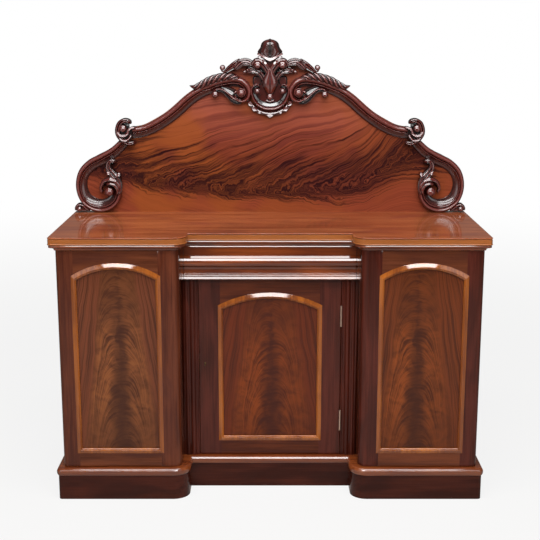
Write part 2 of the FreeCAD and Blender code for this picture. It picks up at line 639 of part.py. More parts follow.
def hinge_recess(z, radius):
    """Clearance round the knuckles of one butt hinge."""
    spare = HINGE_RECESS_CLEARANCE
    return upright_cylinder(HINGE_X, HINGE_Y, z - HINGE_LENGTH / 2 - spare,
                            z + HINGE_LENGTH / 2 + spare, radius)


def leaf_box(x0, x1, z):
    """The flat leaf of one butt hinge, behind its pin."""
    return box(x0, x1, HINGE_Y, HINGE_Y + HINGE_LEAF_WIDTH,
               z - HINGE_LENGTH / 2, z + HINGE_LENGTH / 2)


def pilasters():
    """Both pilasters: the right one takes the hinge leaves, the left one the lock strike."""
    right = pilaster_right()
    left = mirrored(right)
    x0 = CENTRE_DOOR_HALF_WIDTH + CENTRE_DOOR_SIDE_GAP
    clear = HINGE_KNUCKLE_RADIUS + HINGE_RECESS_CLEARANCE
    for z in (UPPER_HINGE_Z, LOWER_HINGE_Z):
        right = right.cut(hinge_recess(z, clear))
        right = right.cut(leaf_box(x0, x0 + HINGE_LEAF_THICKNESS, z))
    left = left.cut(strike_plate_box())
    left = left.cut(bolt_hole())
    return group([left, right])


def frieze_block_right():
    """Short fixed end of the frieze, beside the drawer."""
    return drawer_front_prism(DRAWER_HALF_WIDTH + DRAWER_FRONT_GAP, INNER_X)


# Frieze drawer
def drawer_front_prism(x0, x1):
    """The swelled frieze section between two x positions."""
    back = DRAWER_PLANE_Y
    z1 = DRAWER_FRONT_TOP
    z2 = z1 - FRIEZE_BEAD
    z3 = z2 - FRIEZE_FLAT
    z4 = z3 - FRIEZE_SWELL
    z5 = z4 - FRIEZE_HOLLOW
    z6 = z5 - FRIEZE_ASTRAGAL
    z7 = DRAWER_FRONT_BOTTOM
    flat = FRIEZE_FLAT_SET_BACK
    shoulder = FRIEZE_SHOULDER_SET_BACK
    quirk = FRIEZE_ASTRAGAL_SET_BACK + FRIEZE_QUIRK

    def p(set_back, z):
        return (x0, TOP_RECESS_Y + set_back, z)

    def middle(upper, lower):
        return (upper + lower) / 2

    edges = [
        line((x0, back, z1), p(flat, z1)),
        arc(p(flat, z1), p(FRIEZE_BEAD_SET_BACK, middle(z1, z2)), p(flat, z2)),
        arc(p(flat, z2), p(flat, middle(z2, z3)), p(shoulder, z3)),
        arc(p(shoulder, z3), p(FRIEZE_SWELL_SET_BACK, middle(z3, z4)), p(shoulder, z4)),
        arc(p(shoulder, z4), p(FRIEZE_HOLLOW_SET_BACK, middle(z4, z5)), p(quirk, z5)),
        arc(p(quirk, z5), p(FRIEZE_ASTRAGAL_SET_BACK, middle(z5, z6)), p(quirk, z6)),
        arc(p(quirk, z6), p(FRIEZE_LIP_SET_BACK, middle(z6, z7)), p(quirk, z7)),
        line(p(quirk, z7), (x0, back, z7)),
        line((x0, back, z7), (x0, back, z1)),
    ]
    return prism(edges, (x1 - x0, 0, 0))


def drawer_front():
    """Solid shaped front with no handle; it is pulled by its lower lip."""
    return drawer_front_prism(-DRAWER_HALF_WIDTH, DRAWER_HALF_WIDTH)


def drawer_sides():
    """Both sides of the drawer box."""
    x = DRAWER_BOX_X
    right = box(x - DRAWER_SIDE_THICKNESS, x, DRAWER_PLANE_Y, DRAWER_PLANE_Y + DRAWER_BOX_DEPTH,
                DRAWER_BOX_Z, DRAWER_BOX_Z + DRAWER_BOX_HEIGHT)
    return group([mirrored(right), right])


def drawer_back():
    """Back of the drawer box, over the bottom board."""
    x = DRAWER_BOX_X - DRAWER_SIDE_THICKNESS
    y = DRAWER_PLANE_Y + DRAWER_BOX_DEPTH
    z = DRAWER_BOX_Z + DRAWER_BOTTOM_UP + DRAWER_BOTTOM_THICKNESS
    return box(-x, x, y - DRAWER_SIDE_THICKNESS, y, z,
               DRAWER_BOX_Z + DRAWER_BOX_HEIGHT - DRAWER_BACK_LOWER)


def drawer_bottom():
    """Bottom board between the drawer sides."""
    x = DRAWER_BOX_X - DRAWER_SIDE_THICKNESS
    z = DRAWER_BOX_Z + DRAWER_BOTTOM_UP
    return box(-x, x, DRAWER_PLANE_Y, DRAWER_PLANE_Y + DRAWER_BOX_DEPTH,
               z, z + DRAWER_BOTTOM_THICKNESS)


# Doors: frame, panel and applied moulding round an arched opening
def arch_outline(centre_x, half_width, bottom, apex, rise, side_inset, arch_inset, y):
    """Closed outline with a segmental arched head, drawn in from the moulding's outer edge."""
    radius = (half_width ** 2 + rise ** 2) / (2 * rise)
    hub_z = apex - radius
    half = half_width - side_inset
    r = radius - arch_inset
    z0 = bottom + side_inset
    spring = hub_z + sqrt(r * r - half * half)
    left = centre_x - half
    right = centre_x + half
    return [
        line((left, y, z0), (right, y, z0)),
        line((right, y, z0), (right, y, spring)),
        arc((right, y, spring), (centre_x, y, hub_z + r), (left, y, spring)),
        line((left, y, spring), (left, y, z0)),
    ]


class Door:
    """Sizes of one framed door."""

    def __init__(self, x0, x1, z0, z1, face_y, thickness, centre_x, half, bottom, apex, rise):
        self.x0 = x0
        self.x1 = x1
        self.z0 = z0
        self.z1 = z1
        self.face_y = face_y
        self.thickness = thickness
        self.arch = (centre_x, half, bottom, apex, rise)

    def fill(self, side_inset, arch_inset, y0, y1):
        """Solid arched plate from y0 to y1."""
        return prism(arch_outline(*self.arch, side_inset, arch_inset, y0), (0, y1 - y0, 0))

    def opening(self):
        """What the frame is cut by: the sight opening and the panel's rebate."""
        arch_lap = MOULDING_LAP + MOULDING_ARCH_WIDTH - MOULDING_SIDE_WIDTH
        sight = self.fill(MOULDING_LAP, arch_lap, self.face_y - CUT,
                          self.face_y + CLOSING_THICKNESS + CUT)
        rebate = self.fill(MOULDING_LAP - PANEL_REBATE, arch_lap - PANEL_REBATE,
                           self.face_y + DOOR_PANEL_RECESS,
                           self.face_y + CLOSING_THICKNESS + CUT)
        return sight.fuse(rebate)

    def stile_lines(self):
        """x of the two inner edges of the stiles."""
        centre_x, half = self.arch[0], self.arch[1]
        reach = half - MOULDING_LAP
        return centre_x - reach, centre_x + reach

    def rails(self):
        """Bottom rail and arched top rail, between the stiles."""
        left, right = self.stile_lines()
        y1 = self.face_y + self.thickness
        middle = (self.z0 + self.z1) / 2
        lower = box(left, right, self.face_y, y1, self.z0, middle).cut(self.opening())
        upper = box(left, right, self.face_y, y1, middle, self.z1).cut(self.opening())
        return group([lower, upper])

    def panel(self):
        """Veneered flat panel in the frame's rebate."""
        side = MOULDING_LAP - PANEL_REBATE + PANEL_REBATE_CLEARANCE
        top = side + MOULDING_ARCH_WIDTH - MOULDING_SIDE_WIDTH
        y0 = self.face_y + DOOR_PANEL_RECESS
        return self.fill(side, top, y0, y0 + DOOR_PANEL_THICKNESS)

    def ring(self, outer_inset, inner_inset, y0, y1):
        """Band of the moulding between two insets; the arch is wider than the sides."""
        def arch_inset(inset):
            return inset * MOULDING_ARCH_WIDTH / MOULDING_SIDE_WIDTH
        outer = self.fill(outer_inset, arch_inset(outer_inset), y0, y1)
        inner = self.fill(inner_inset, arch_inset(inner_inset), y0 - CUT, y1 + CUT)
        return outer.cut(inner)

    def moulding(self):
        """Bolection moulding lapped over the frame and standing on the panel."""
        w = MOULDING_SIDE_WIDTH
        proud = MOULDING_PROUD
        step = MOULDING_FILLET
        face = self.face_y
        lap = self.ring(0.0, w - step, face - proud / 2, face)
        crown = self.ring(step, w - 2 * step, face - proud, face - proud / 2)
        arch_lap = MOULDING_LAP + MOULDING_ARCH_WIDTH - MOULDING_SIDE_WIDTH
        tongue = self.fill(MOULDING_LAP, arch_lap, face, face + DOOR_PANEL_RECESS)
        arch_width = MOULDING_ARCH_WIDTH
        tongue = tongue.cut(self.fill(w, arch_width, face - CUT, face + DOOR_PANEL_RECESS + CUT))
        inner = self.ring(w - step, w, face - MOULDING_LIP, face)
        return fused([lap, crown, tongue, inner])


def pedestal_door():
    """Sizes of the right pedestal door; the left one is its mirror image."""
    centre = (PEDESTAL_MOULDING_INNER_X + PEDESTAL_MOULDING_OUTER_X) / 2
    half = (PEDESTAL_MOULDING_OUTER_X - PEDESTAL_MOULDING_INNER_X) / 2
    return Door(INNER_X, OUTER_X, DOOR_BOTTOM_Z, DOOR_TOP_Z, DOOR_FACE_Y, DOOR_THICKNESS,
                centre, half, DOOR_BOTTOM_Z + PEDESTAL_BOTTOM_RAIL,
                DOOR_TOP_Z - PEDESTAL_TOP_RAIL, PEDESTAL_ARCH_RISE)


def pedestal_stiles(door):
    """Closing stile with a rounded front corner, hanging stile rounded about its pivots."""
    left, right = door.stile_lines()
    closing = box(INNER_X, left, DOOR_FACE_Y, DOOR_FACE_Y + CLOSING_THICKNESS, door.z0, door.z1)
    hub_x = INNER_X + CLOSING_ROUND
    hub_y = DOOR_FACE_Y + CLOSING_ROUND
    corner_block = box(INNER_X, hub_x, DOOR_FACE_Y, hub_y, door.z0, door.z1)
    corner_block = corner_block.cut(upright_cylinder(hub_x, hub_y, door.z0, door.z1, CLOSING_ROUND))
    closing = closing.cut(corner_block).cut(door.opening())
    hanging = box(right, PIVOT_X, DOOR_FACE_Y, DOOR_FACE_Y + DOOR_THICKNESS, door.z0, door.z1)
    edge = upright_cylinder(PIVOT_X, PIVOT_Y, door.z0, door.z1, DOOR_THICKNESS / 2)
    hanging = fused([hanging, edge]).cut(door.opening())
    reach = PIVOT_PIN_LENGTH + PIVOT_BORE_SPARE
    for z0, z1 in ((door.z0, door.z0 + reach), (door.z1 - reach, door.z1)):
        bore = upright_cylinder(PIVOT_X, PIVOT_Y, z0, z1, PIVOT_PIN_RADIUS + PIN_CLEARANCE)
        hanging = hanging.cut(bore)
    for z0 in (door.z0, door.z1 - PIVOT_PLATE_THICKNESS):
        hanging = hanging.cut(pivot_plate_box(z0))
    return group([closing, hanging])


def pivot_plate_box(z0):
    """A plate centred on the pivot axis and running inwards along the door edge."""
    half = PIVOT_PLATE_WIDTH / 2
    inset = PIVOT_BOSS_RADIUS + PIVOT_PLATE_MARGIN
    return box(PIVOT_X + inset - PIVOT_PLATE_LENGTH, PIVOT_X + inset, PIVOT_Y - half,
               PIVOT_Y + half, z0, z0 + PIVOT_PLATE_THICKNESS)


def door_brasses(door):
    """Socket plates let into the top and bottom edges, and the catch stud on the back."""
    plates = []
    for z0 in (door.z0, door.z1 - PIVOT_PLATE_THICKNESS):
        plate = pivot_plate_box(z0)
        hole = upright_cylinder(PIVOT_X, PIVOT_Y, z0 - CUT, z0 + PIVOT_PLATE_THICKNESS + CUT,
                                PIVOT_PIN_RADIUS + PIN_CLEARANCE)
        plates.append(plate.cut(hole))
    return plates + [catch_stud()]


def pivot_plates_right():
    """Fixed plates with the pins that the right door turns on."""
    pieces = []
    washer = DOOR_GAP - RUNNING_CLEARANCE
    t = PIVOT_PLATE_THICKNESS
    low = fused([
        pivot_plate_box(BASE_Z - t),
        upright_cylinder(PIVOT_X, PIVOT_Y, BASE_Z - t, BASE_Z + washer, PIVOT_BOSS_RADIUS),
        upright_cylinder(PIVOT_X, PIVOT_Y, BASE_Z - t, DOOR_BOTTOM_Z + PIVOT_PIN_LENGTH,
                         PIVOT_PIN_RADIUS),
    ])
    high = fused([
        pivot_plate_box(CARCASS_TOP_Z),
        upright_cylinder(PIVOT_X, PIVOT_Y, CARCASS_TOP_Z - washer, CARCASS_TOP_Z + t,
                         PIVOT_BOSS_RADIUS),
        upright_cylinder(PIVOT_X, PIVOT_Y, DOOR_TOP_Z - PIVOT_PIN_LENGTH, CARCASS_TOP_Z + t,
                         PIVOT_PIN_RADIUS),
    ])
    pieces.append(low)
    pieces.append(high)
    return pieces


def catch_place():
    """x, back of the door and height of the catch on the right door."""
    x = INNER_X + SIDE_THICKNESS + CATCH_WIDTH
    return x, DOOR_FACE_Y + CLOSING_THICKNESS, CARCASS_TOP_Z - BOARD_THICKNESS - CATCH_Z_DROP


def catch_stud():
    """Round brass stud standing out of the closing stile's back."""
    x, y, z = catch_place()
    stud = Part.makeCylinder(CATCH_STUD_RADIUS, CATCH_STUD_LENGTH, V(x, y, z), V(0, 1, 0))
    plate = Part.makeCylinder(CATCH_ROSE_RADIUS, CATCH_THICKNESS, V(x, y, z), V(0, 1, 0))
    return fused([plate, stud])


def catch_clip():
    """Sprung brass clip under the pedestal's top board that grips the stud."""
    x, y, z = catch_place()
    y0 = INSIDE_FRONT_Y + CATCH_SET_BACK
    grip = CATCH_STUD_RADIUS + CATCH_CLEARANCE
    t = CATCH_THICKNESS
    bottom = z - grip - CATCH_PRONG_BELOW
    top = CARCASS_TOP_Z - BOARD_THICKNESS
    half = CATCH_WIDTH / 2
    plate = box(x - half, x + half, y0, y0 + CATCH_DEPTH, top - t, top)
    left = box(x - grip - t, x - grip, y0, y0 + CATCH_DEPTH, bottom, top - t)
    right = box(x + grip, x + grip + t, y0, y0 + CATCH_DEPTH, bottom, top - t)
    return fused([plate, left, right])


# Centre door and its brasses
def centre_door():
    """Sizes of the centre door, which shuts between the pilasters."""
    return Door(-CENTRE_DOOR_HALF_WIDTH, CENTRE_DOOR_HALF_WIDTH, DOOR_BOTTOM_Z, CENTRE_DOOR_TOP,
                CENTRE_FACE_Y, CENTRE_DOOR_THICKNESS, 0.0,
                CENTRE_DOOR_HALF_WIDTH - CENTRE_STILE_WIDTH, DOOR_BOTTOM_Z + CENTRE_BOTTOM_RAIL,
                CENTRE_DOOR_TOP - CENTRE_TOP_RAIL, CENTRE_ARCH_RISE)


def keyhole(radius_add, y0, y1):
    """Keyhole outline with its wards slot hanging down, run from y0 to y1."""
    x = BOLT_X + KEYHOLE_FROM_EDGE
    r = KEYHOLE_RADIUS + radius_add
    half = KEYHOLE_SLOT_WIDTH / 2 + radius_add
    drop = KEYHOLE_SLOT_LENGTH + radius_add
    head = Part.makeCylinder(r, y1 - y0, V(x, y0, LOCK_Z), V(0, 1, 0))
    slot = box(x - half, x + half, y0, y1, LOCK_Z - drop, LOCK_Z)
    return fused([head, slot])


def lock_case_box():
    """Space of the lock case in the back of the closing stile."""
    x0 = BOLT_X
    y1 = CENTRE_DOOR_BACK_Y
    half = LOCK_CASE_HEIGHT / 2
    return box(x0, x0 + LOCK_CASE_WIDTH, y1 - LOCK_CASE_THICKNESS, y1, LOCK_Z - half, LOCK_Z + half)


def bolt_box(clearance, mouth):
    """Space of the withdrawn bolt; mouth is how far it runs out past the door's edge."""
    y_middle = CENTRE_DOOR_BACK_Y - LOCK_CASE_THICKNESS / 2
    half_t = BOLT_THICKNESS / 2 + clearance
    half_h = BOLT_HEIGHT / 2 + clearance
    x0 = BOLT_X + BOLT_CLEARANCE
    return box(x0 - mouth, x0 + BOLT_LENGTH + clearance, y_middle - half_t, y_middle + half_t,
               LOCK_Z - half_h, LOCK_Z + half_h)


def lock_bolt():
    """The sliding bolt, withdrawn so that its end lies just inside the door's edge."""
    return bolt_box(0.0, 0.0)


def lock_case():
    """Brass case with the bolt's hole, a key socket and a fore-end at the door edge."""
    case = lock_case_box()
    case = case.cut(bolt_box(BOLT_CLEARANCE, BOLT_CLEARANCE + CUT))
    y1 = CENTRE_DOOR_BACK_Y
    key = Part.makeCylinder(KEYHOLE_RADIUS, LOCK_WALL + CUT,
                            V(BOLT_X + KEYHOLE_FROM_EDGE, y1 - LOCK_CASE_THICKNESS - CUT, LOCK_Z),
                            V(0, 1, 0))
    return case.cut(key)


def bolt_hole():
    """Mortise in the left pilaster that the bolt shoots into."""
    y_middle = CENTRE_DOOR_BACK_Y - LOCK_CASE_THICKNESS / 2
    half_t = BOLT_THICKNESS / 2 + 2 * BOLT_CLEARANCE
    half_h = BOLT_HEIGHT / 2 + 2 * BOLT_CLEARANCE
    x1 = BOLT_X - CENTRE_DOOR_SIDE_GAP
    return box(x1 - BOLT_THROW - BOLT_END_SPARE, x1 + CUT, y_middle - half_t, y_middle + half_t,
               LOCK_Z - half_h, LOCK_Z + half_h)


def strike_plate_box():
    """Space of the strike plate in the left pilaster's edge."""
    y_middle = CENTRE_DOOR_BACK_Y - LOCK_CASE_THICKNESS / 2
    half_w = BOLT_THICKNESS / 2 + STRIKE_MARGIN
    half_h = LOCK_CASE_HEIGHT / 2
    x1 = BOLT_X - CENTRE_DOOR_SIDE_GAP
    return box(x1 - STRIKE_THICKNESS, x1, y_middle - half_w, y_middle + half_w,
               LOCK_Z - half_h, LOCK_Z + half_h)


def lock_strike():
    """Brass strike plate with the bolt's slot."""
    return strike_plate_box().cut(bolt_hole())


def centre_stiles(door):
    """Closing stile with the lock's seat and keyhole, hanging stile with the hinge seats."""
    left, right = door.stile_lines()
    y0 = CENTRE_FACE_Y
    y1 = CENTRE_DOOR_BACK_Y
    closing = box(door.x0, left, y0, y1, door.z0, door.z1).cut(door.opening())
    closing = closing.cut(lock_case_box())
    closing = closing.cut(keyhole(0.0, y0 - CUT, y1 + CUT))
    closing = closing.cut(keyhole(ESCUTCHEON_WALL, y0 - CUT, y0 + ESCUTCHEON_DEPTH))
    hanging = box(right, door.x1, y0, y1, door.z0, door.z1).cut(door.opening())
    clear = HINGE_KNUCKLE_RADIUS + HINGE_RECESS_CLEARANCE
    for z in (UPPER_HINGE_Z, LOWER_HINGE_Z):
        hanging = hanging.cut(hinge_recess(z, clear))
        hanging = hanging.cut(leaf_box(door.x1 - HINGE_LEAF_THICKNESS, door.x1, z))
    return group([closing, hanging])


def escutcheon():
    """Brass thread round the keyhole, flush with the stile."""
    y0 = CENTRE_FACE_Y
    y1 = y0 + ESCUTCHEON_DEPTH
    return keyhole(ESCUTCHEON_WALL, y0, y1).cut(keyhole(0.0, y0 - CUT, y1 + CUT))


def hinge_half(z, moving):
    """One leaf of a butt hinge with its share of the knuckles; the fixed one has the pin."""
    pitch = HINGE_LENGTH / HINGE_KNUCKLES
    bottom = z - HINGE_LENGTH / 2
    x0 = CENTRE_DOOR_HALF_WIDTH
    x1 = x0 + CENTRE_DOOR_SIDE_GAP
    mine = [i for i in range(HINGE_KNUCKLES) if (i % 2 == 1) == moving]
    if moving:
        leaf = leaf_box(x0 - HINGE_LEAF_THICKNESS, x0, z)
    else:
        leaf = leaf_box(x1, x1 + HINGE_LEAF_THICKNESS, z)
    leaf = leaf.cut(hinge_recess(z, HINGE_KNUCKLE_RADIUS + HINGE_KNUCKLE_GAP))
    pieces = [leaf]
    for i in mine:
        z0 = bottom + i * pitch + HINGE_KNUCKLE_GAP / 2
        z1 = bottom + (i + 1) * pitch - HINGE_KNUCKLE_GAP / 2
        knuckle = upright_cylinder(HINGE_X, HINGE_Y, z0, z1, HINGE_KNUCKLE_RADIUS)
        web_y = HINGE_Y + HINGE_KNUCKLE_RADIUS + HINGE_WEB_REACH
        if moving:
            web = box(x0 - HINGE_LEAF_THICKNESS, x0, HINGE_Y, web_y, z0, z1)
        else:
            web = box(x1, x1 + HINGE_LEAF_THICKNESS, HINGE_Y, web_y, z0, z1)
        pieces += [knuckle, web]
    half = fused(pieces)
    if moving:
        bore = upright_cylinder(HINGE_X, HINGE_Y, bottom - CUT, bottom + HINGE_LENGTH + CUT,
                                HINGE_PIN_RADIUS + PIN_CLEARANCE)
        return half.cut(bore)
    pin = upright_cylinder(HINGE_X, HINGE_Y, bottom + HINGE_KNUCKLE_GAP / 2,
                           bottom + HINGE_LENGTH - HINGE_KNUCKLE_GAP / 2, HINGE_PIN_RADIUS)
    return fused([half, pin])


def hinge_halves(moving):
    """The same half of both butt hinges."""
    return group([hinge_half(UPPER_HINGE_Z, moving), hinge_half(LOWER_HINGE_Z, moving)])


# Gallery
def curve_through(points, y):
    """A smooth edge through (x, height) points at depth y."""
    spline = Part.BSplineCurve()
    spline.interpolate([V(x, y, TOP_Z + h) for x, h in points])
    return spline.toShape()


def along_top(points):
    """Gallery points, (x, height) and more, moved outwards as the top gets wider."""
    moved = []
    for x, *rest in points:
        share = min(max((x - GALLERY_CREST_X) / (GALLERY_EAR_X - GALLERY_CREST_X), 0.0), 1.0)
        moved.append((x + share * GALLERY_SHIFT, *rest))
    return moved


def gallery_backboard():
    """The shaped board: ears, shoulders and a raised middle."""
    y = BOARD_FACE_Y
    left_ear = [(-x, h) for x, h in along_top(GALLERY_OUTLINE_EAR)]
    left_top = [(-x, h) for x, h in along_top(GALLERY_OUTLINE_SHOULDER)]
    right_top = list(reversed(along_top(GALLERY_OUTLINE_SHOULDER)))
    right_ear = list(reversed(along_top(GALLERY_OUTLINE_EAR)))

    def at(point):
        return (point[0], y, TOP_Z + point[1])

    edges = [
        line(at(right_ear[-1]), at(left_ear[0])),
        curve_through(left_ear, y),
        line(at(left_ear[-1]), at(left_top[0])),
        curve_through(left_top + right_top[1:], y),
        line(at(right_top[-1]), at(right_ear[0])),
        curve_through(right_ear, y),
    ]
    return prism(edges, (0, GALLERY_BOARD_THICKNESS, 0))


def ribbon(stations, share, y0, y1):
    """A band of varying width along (x, height, width) stations, from y0 to y1."""
    left = []
    right = []
    last = len(stations) - 1
    for i, (x, h, width) in enumerate(stations):
        a = stations[max(i - 1, 0)]
        b = stations[min(i + 1, last)]
        run = hypot(b[0] - a[0], b[1] - a[1])
        nx = -(b[1] - a[1]) / run
        nh = (b[0] - a[0]) / run
        half = width * share / 2
        left.append((x + nx * half, h + nh * half))
        right.append((x - nx * half, h - nh * half))
    right.reverse()
    ends = [(left[-1], right[0]), (right[-1], left[0])]
    edges = [curve_through(left, y0)]
    edges.append(line((ends[0][0][0], y0, TOP_Z + ends[0][0][1]),
                      (ends[0][1][0], y0, TOP_Z + ends[0][1][1])))
    edges.append(curve_through(right, y0))
    edges.append(line((ends[1][0][0], y0, TOP_Z + ends[1][0][1]),
                      (ends[1][1][0], y0, TOP_Z + ends[1][1][1])))
    return prism(edges, (0, y1 - y0, 0))


def eye(x, h, radius, proud):
    """Domed eye of a scroll, standing out of the board."""
    base_y = BOARD_FACE_Y
    stem = Part.makeCylinder(radius, proud - radius / 2, V(x, base_y, TOP_Z + h), V(0, -1, 0))
    dome = Part.makeSphere(radius, V(x, base_y - proud + radius / 2, TOP_Z + h))
    front = box(x - 2 * radius, x + 2 * radius, base_y - 2 * proud, base_y - proud + radius / 2,
                TOP_Z + h - 2 * radius, TOP_Z + h + 2 * radius)
    return fused([stem, dome.common(front)])


def rail(stations):
    """A moulded rail: full width behind, narrower torus in front."""
    y = BOARD_FACE_Y
    base = ribbon(stations, 1.0, y - RAIL_BASE_PROUD, y)
    crown = ribbon(stations, RAIL_CROWN_SHARE, y - RAIL_PROUD, y)
    return fused([base, crown])


def carved_band(stations, proud):
    """A carved scroll or leaf in two heights."""
    y = BOARD_FACE_Y
    return [ribbon(stations, 1.0, y - proud * CARVED_BASE_SHARE, y),
            ribbon(stations, CARVED_CROWN_SHARE, y - proud, y)]


def crest_scroll():
    """C-scroll of the crest with the leaves that wrap it."""
    parts = carved_band(CREST_SCROLL, SCROLL_PROUD)
    parts += carved_band(CREST_LOWER_LEAF, LOWER_LEAF_PROUD)
    parts += carved_band(CREST_UPPER_LEAF, LEAF_PROUD)
    parts.append(eye(*CREST_SCROLL_EYE, SCROLL_PROUD))
    return fused(parts)


def gallery_crest():
    """Palmette, finial and U-scroll in the middle of the gallery."""
    y = BOARD_FACE_Y
    parts = carved_band(CREST_STEM, CREST_PROUD)
    for s in (1, -1):
        palm = [(s * x, h, w) for x, h, w in CREST_PALM]
        parts += carved_band(palm, PALM_PROUD)
        parts.append(eye(s * CREST_CURL[0], CREST_CURL[1], CREST_CURL[2], CREST_PROUD))
        parts.append(eye(s * U_SCROLL_EYE[0], U_SCROLL_EYE[1], U_SCROLL_EYE[2], SCROLL_PROUD))
    u_scroll = U_SCROLL + [(-x, h, w) for x, h, w in reversed(U_SCROLL[:-1])]
    parts += carved_band(u_scroll, LEAF_PROUD)
    drop = [V(x, y, TOP_Z + h) for x, h in CREST_DROP]
    parts.append(Part.Face(Part.makePolygon(drop + [drop[0]])).extrude(V(0, -DROP_PROUD, 0)))
    return fused(parts)


def finial():
    """Dome over a flared flange, cut flat at the back of the board."""
    y = BOARD_FACE_Y
    z0 = TOP_Z + FINIAL_BASE
    foot = z0 - FINIAL_FOOT_DEPTH
    shoulder = z0 + FINIAL_SHOULDER
    tip = z0 + FINIAL_HEIGHT
    r = FINIAL_RADIUS
    wide = FINIAL_FLANGE_RADIUS
    edges = [
        line((0, y, foot), (FINIAL_FOOT_RADIUS, y, foot)),
        arc((FINIAL_FOOT_RADIUS, y, foot), (FINIAL_FOOT_RADIUS + (wide - FINIAL_FOOT_RADIUS) / sqrt(2.0), y,
                                           z0 - FINIAL_FOOT_DEPTH / sqrt(2.0)),
            (wide, y, z0)),
        line((wide, y, z0), (r, y, shoulder)),
        arc((r, y, shoulder), (r / sqrt(2.0), y, shoulder + (tip - shoulder) / sqrt(2.0)), (0, y, tip)),
        line((0, y, tip), (0, y, foot)),
    ]
    dome = Part.Face(Part.Wire(edges)).revolve(V(0, y, z0), V(0, 0, 1), 360)
    keep = box(-wide, wide, y - wide, y + GALLERY_BOARD_THICKNESS, foot, tip)
    return dome.common(keep)


def crest_with_finial():
    """The crest and its finial, carved from one block."""
    return fused([gallery_crest(), finial()])


def ear_leaf():
    """Acanthus leaf that springs from the curl of the ear."""
    return fused(carved_band(along_top(VOLUTE_LEAF), LEAF_PROUD))


def mid_scroll():
    """Leaf-wrapped C-scroll between the ear and the shoulder."""
    parts = carved_band(along_top(MID_SCROLL), SCROLL_PROUD)
    parts.append(eye(*along_top([MID_SCROLL_EYE])[0], SCROLL_PROUD))
    return fused(parts)


def gallery_battens():
    """Upright battens that hold the gallery to the back of the carcass."""
    right = box(BATTEN_X - BATTEN_WIDTH / 2, BATTEN_X + BATTEN_WIDTH / 2, TOP_BACK_Y,
                TOP_BACK_Y + BATTEN_THICKNESS, TOP_Z - BATTEN_DROP, TOP_Z + BATTEN_RISE)
    for height in BATTEN_SCREW_HEIGHTS:
        right = right.cut(batten_screw(BATTEN_X, TOP_Z + height))
    return group([mirrored(right), right])


def batten_screw(x, z):
    """A countersunk screw through a batten, its head flush with the batten's back."""
    y = TOP_BACK_Y + BATTEN_THICKNESS
    head = Part.makeCone(SCREW_HEAD_RADIUS, SCREW_SHANK_RADIUS, SCREW_HEAD_DEPTH,
                         V(x, y, z), V(0, -1, 0))
    shank = Part.makeCylinder(SCREW_SHANK_RADIUS, BATTEN_THICKNESS, V(x, y, z), V(0, -1, 0))
    return fused([head, shank])


def batten_screws():
    """All the screws of both battens, slotted for the driver."""
    y = TOP_BACK_Y + BATTEN_THICKNESS
    half = SCREW_SLOT_WIDTH / 2
    screws = []
    for x in (-BATTEN_X, BATTEN_X):
        for z in [TOP_Z + height for height in BATTEN_SCREW_HEIGHTS]:
            slot = box(x - SCREW_HEAD_RADIUS, x + SCREW_HEAD_RADIUS, y - SCREW_SLOT_DEPTH, y + CUT,
                       z - half, z + half)
            screws.append(batten_screw(x, z).cut(slot))
    return group(screws)


def shelf_z(z0, z1):
    """Underside of a shelf that halves the space between two heights."""
    return (z0 + z1 - BOARD_THICKNESS) / 2


